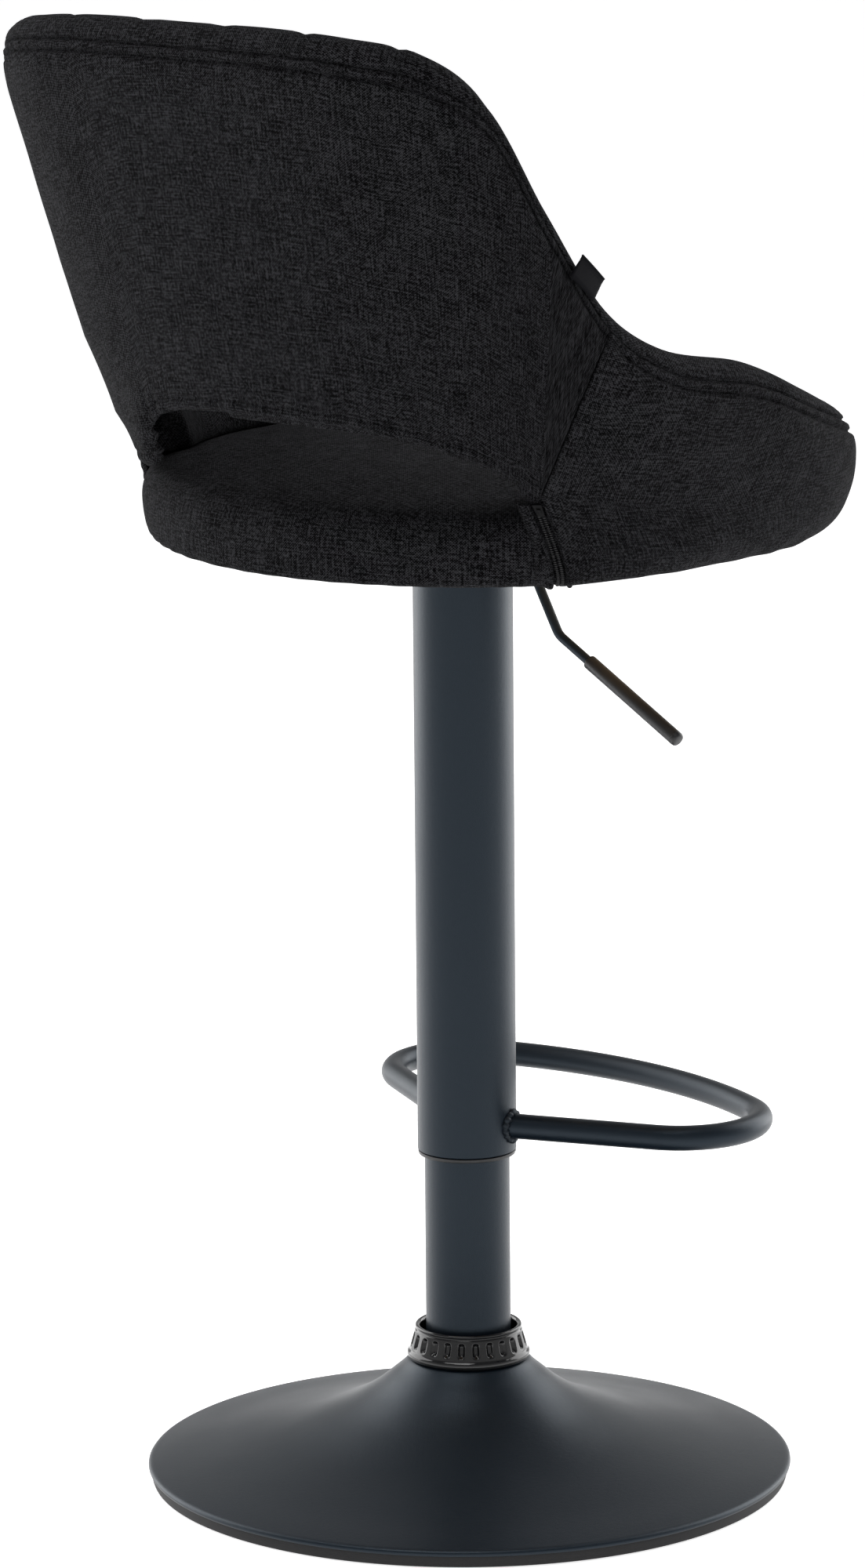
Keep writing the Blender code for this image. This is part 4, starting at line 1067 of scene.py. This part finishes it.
for side, name in ((1, "zip_left"), (-1, "zip_right")):
    rows = []
    for step in range(41):
        height = SEAT_BOTTOM + 0.0004 + (ZIP_TOP - SEAT_BOTTOM) * step / 40
        point, across, upward, out = zip_frame(side, height)
        row = []
        for shift, lift in ((-0.0115, -0.0030), (-0.0090, -0.0002), (-0.0070, 0.0010), (-0.0054, 0.0011),
                            (-0.0043, 0.0006), (-0.0037, -0.0006), (-0.0034, -0.0022), (-0.0022, -0.0026),
                            (0.0, -0.0027), (0.0022, -0.0026), (0.0034, -0.0022), (0.0037, -0.0006),
                            (0.0043, 0.0006), (0.0054, 0.0009), (0.0066, 0.0002), (0.0085, -0.0030)):
            wave = 0.0003 * math.sin(height * 900 + shift * 500)
            row.append(point + across * shift + out * (lift + (wave if abs(shift) > 0.004 else 0.0)))
        rows.append(row)
    tape = cloth_grid(name + "_tape", rows, black_cloth, thick=0.0006)
    bm = bmesh.new()
    count = int((ZIP_TOP - SEAT_BOTTOM) / TOOTH_PITCH)
    for number in range(count):
        for half_side in (-1, 1):
            height = SEAT_BOTTOM + 0.0008 + (number + 0.25 * half_side) * TOOTH_PITCH
            point, across, upward, out = zip_frame(side, height)
            middle = point + across * (half_side * 0.0014) - out * 0.0012
            made = bmesh.ops.create_icosphere(bm, subdivisions=1, radius=1.0)["verts"]
            for vert in made:
                x, y, z = vert.co
                vert.co = middle + across * (x * 0.0014) + upward * (y * 0.00048) + out * (z * 0.0008)
    mesh = bpy.data.meshes.new(name + "_coil")
    bm.to_mesh(mesh)
    bm.free()
    coil = show(name + "_coil", mesh, nylon, 80.0)
    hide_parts(name)
    for piece in (tape, coil):
        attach(piece, "upper")

slider_metal = coat("lacquered_slider", (300.0,), (0.0015, 0.0015, 0.002), (0.0035, 0.0035, 0.004),
                    ((800.0, 3.0), 0.45, 0.65), Specular_IOR_Level=0.12)
for side, name in ((1, "left"), (-1, "right")):
    point, across, upward, out = zip_frame(side, ZIP_TOP - 0.0035)
    bm = bmesh.new()
    for size, shift in (((0.0030, 0.0042, 0.0009), 0.0), ((0.0012, 0.0016, 0.0010), 0.0012)):
        made = bmesh.ops.create_cube(bm, size=2.0)["verts"]
        for vert in made:
            x, y, z = vert.co
            narrow = 1.0 - 0.28 * (y < 0)
            vert.co = (point + across * (x * size[0] * narrow) + upward * (y * size[1])
                       + out * (z * size[2] + shift - 0.0012))
    mesh = bpy.data.meshes.new("zip_slider_" + name)
    bm.to_mesh(mesh)
    bm.free()
    slider = show("zip_slider_" + name, mesh, slider_metal, 40.0)
    rounding = slider.modifiers.new("edges", "BEVEL")
    rounding.width = 0.0005
    rounding.segments = 3
    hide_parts("slider_" + name)
    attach(slider, "upper")


# ================================================================ side label
# Plain black satin tape, folded in two and caught in the rim seam on the sitter's right.

TAG_TURN = math.radians(41)
TAG_WIDTH = 0.023
TAG_HEIGHT = 0.012
TAG_SHIFT = Vector((0.0, 0.0006, 0.0052))

TAPE_RIBS = (1500.0, 1.0, (1.0, 0.2, 1.0))
satin = coat("satin_tape", TAPE_RIBS, (0.0016, 0.0016, 0.0024), (0.0045, 0.0045, 0.0060),
             relief=(TAPE_RIBS, 0.00008), Roughness=0.75, Specular_IOR_Level=0.08)

low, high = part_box("label_tag")
along = Vector((0.0, math.cos(TAG_TURN), math.sin(TAG_TURN)))
up = Vector((0.0, -math.sin(TAG_TURN), math.cos(TAG_TURN)))
away = Vector((-1.0, 0.0, 0.0))
middle = (Vector(low) + Vector(high)) / 2 - up * TAG_HEIGHT / 2 + TAG_SHIFT
rows = []
section = [(0.0009, -0.0025), (0.0008, 0.0)]
section += [(0.0008 - 0.0001 * step, TAG_HEIGHT * step / 9) for step in range(1, 9)]
section += [(0.00075 * math.cos(turn), TAG_HEIGHT - 0.0007 + 0.0008 * math.sin(turn))
            for turn in (math.pi * step / 8 for step in range(9))]
section += [(-0.0008 + 0.0001 * step, TAG_HEIGHT * step / 9) for step in range(8, 0, -1)]
section += [(-0.0008, 0.0), (-0.0009, -0.0025)]
for out, rise in section:
    row = []
    for step in range(17):
        t = step / 16 - 0.5
        bow = 0.0006 * math.cos(2.2 * t) + 0.0005 * (rise / TAG_HEIGHT) * t
        row.append(middle + along * (TAG_WIDTH * t) + up * rise + away * (out + bow))
    rows.append(row)
tag = cloth_grid("side_label", rows, satin, thick=0.00035)
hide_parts("label_tag")
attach(tag, "upper")
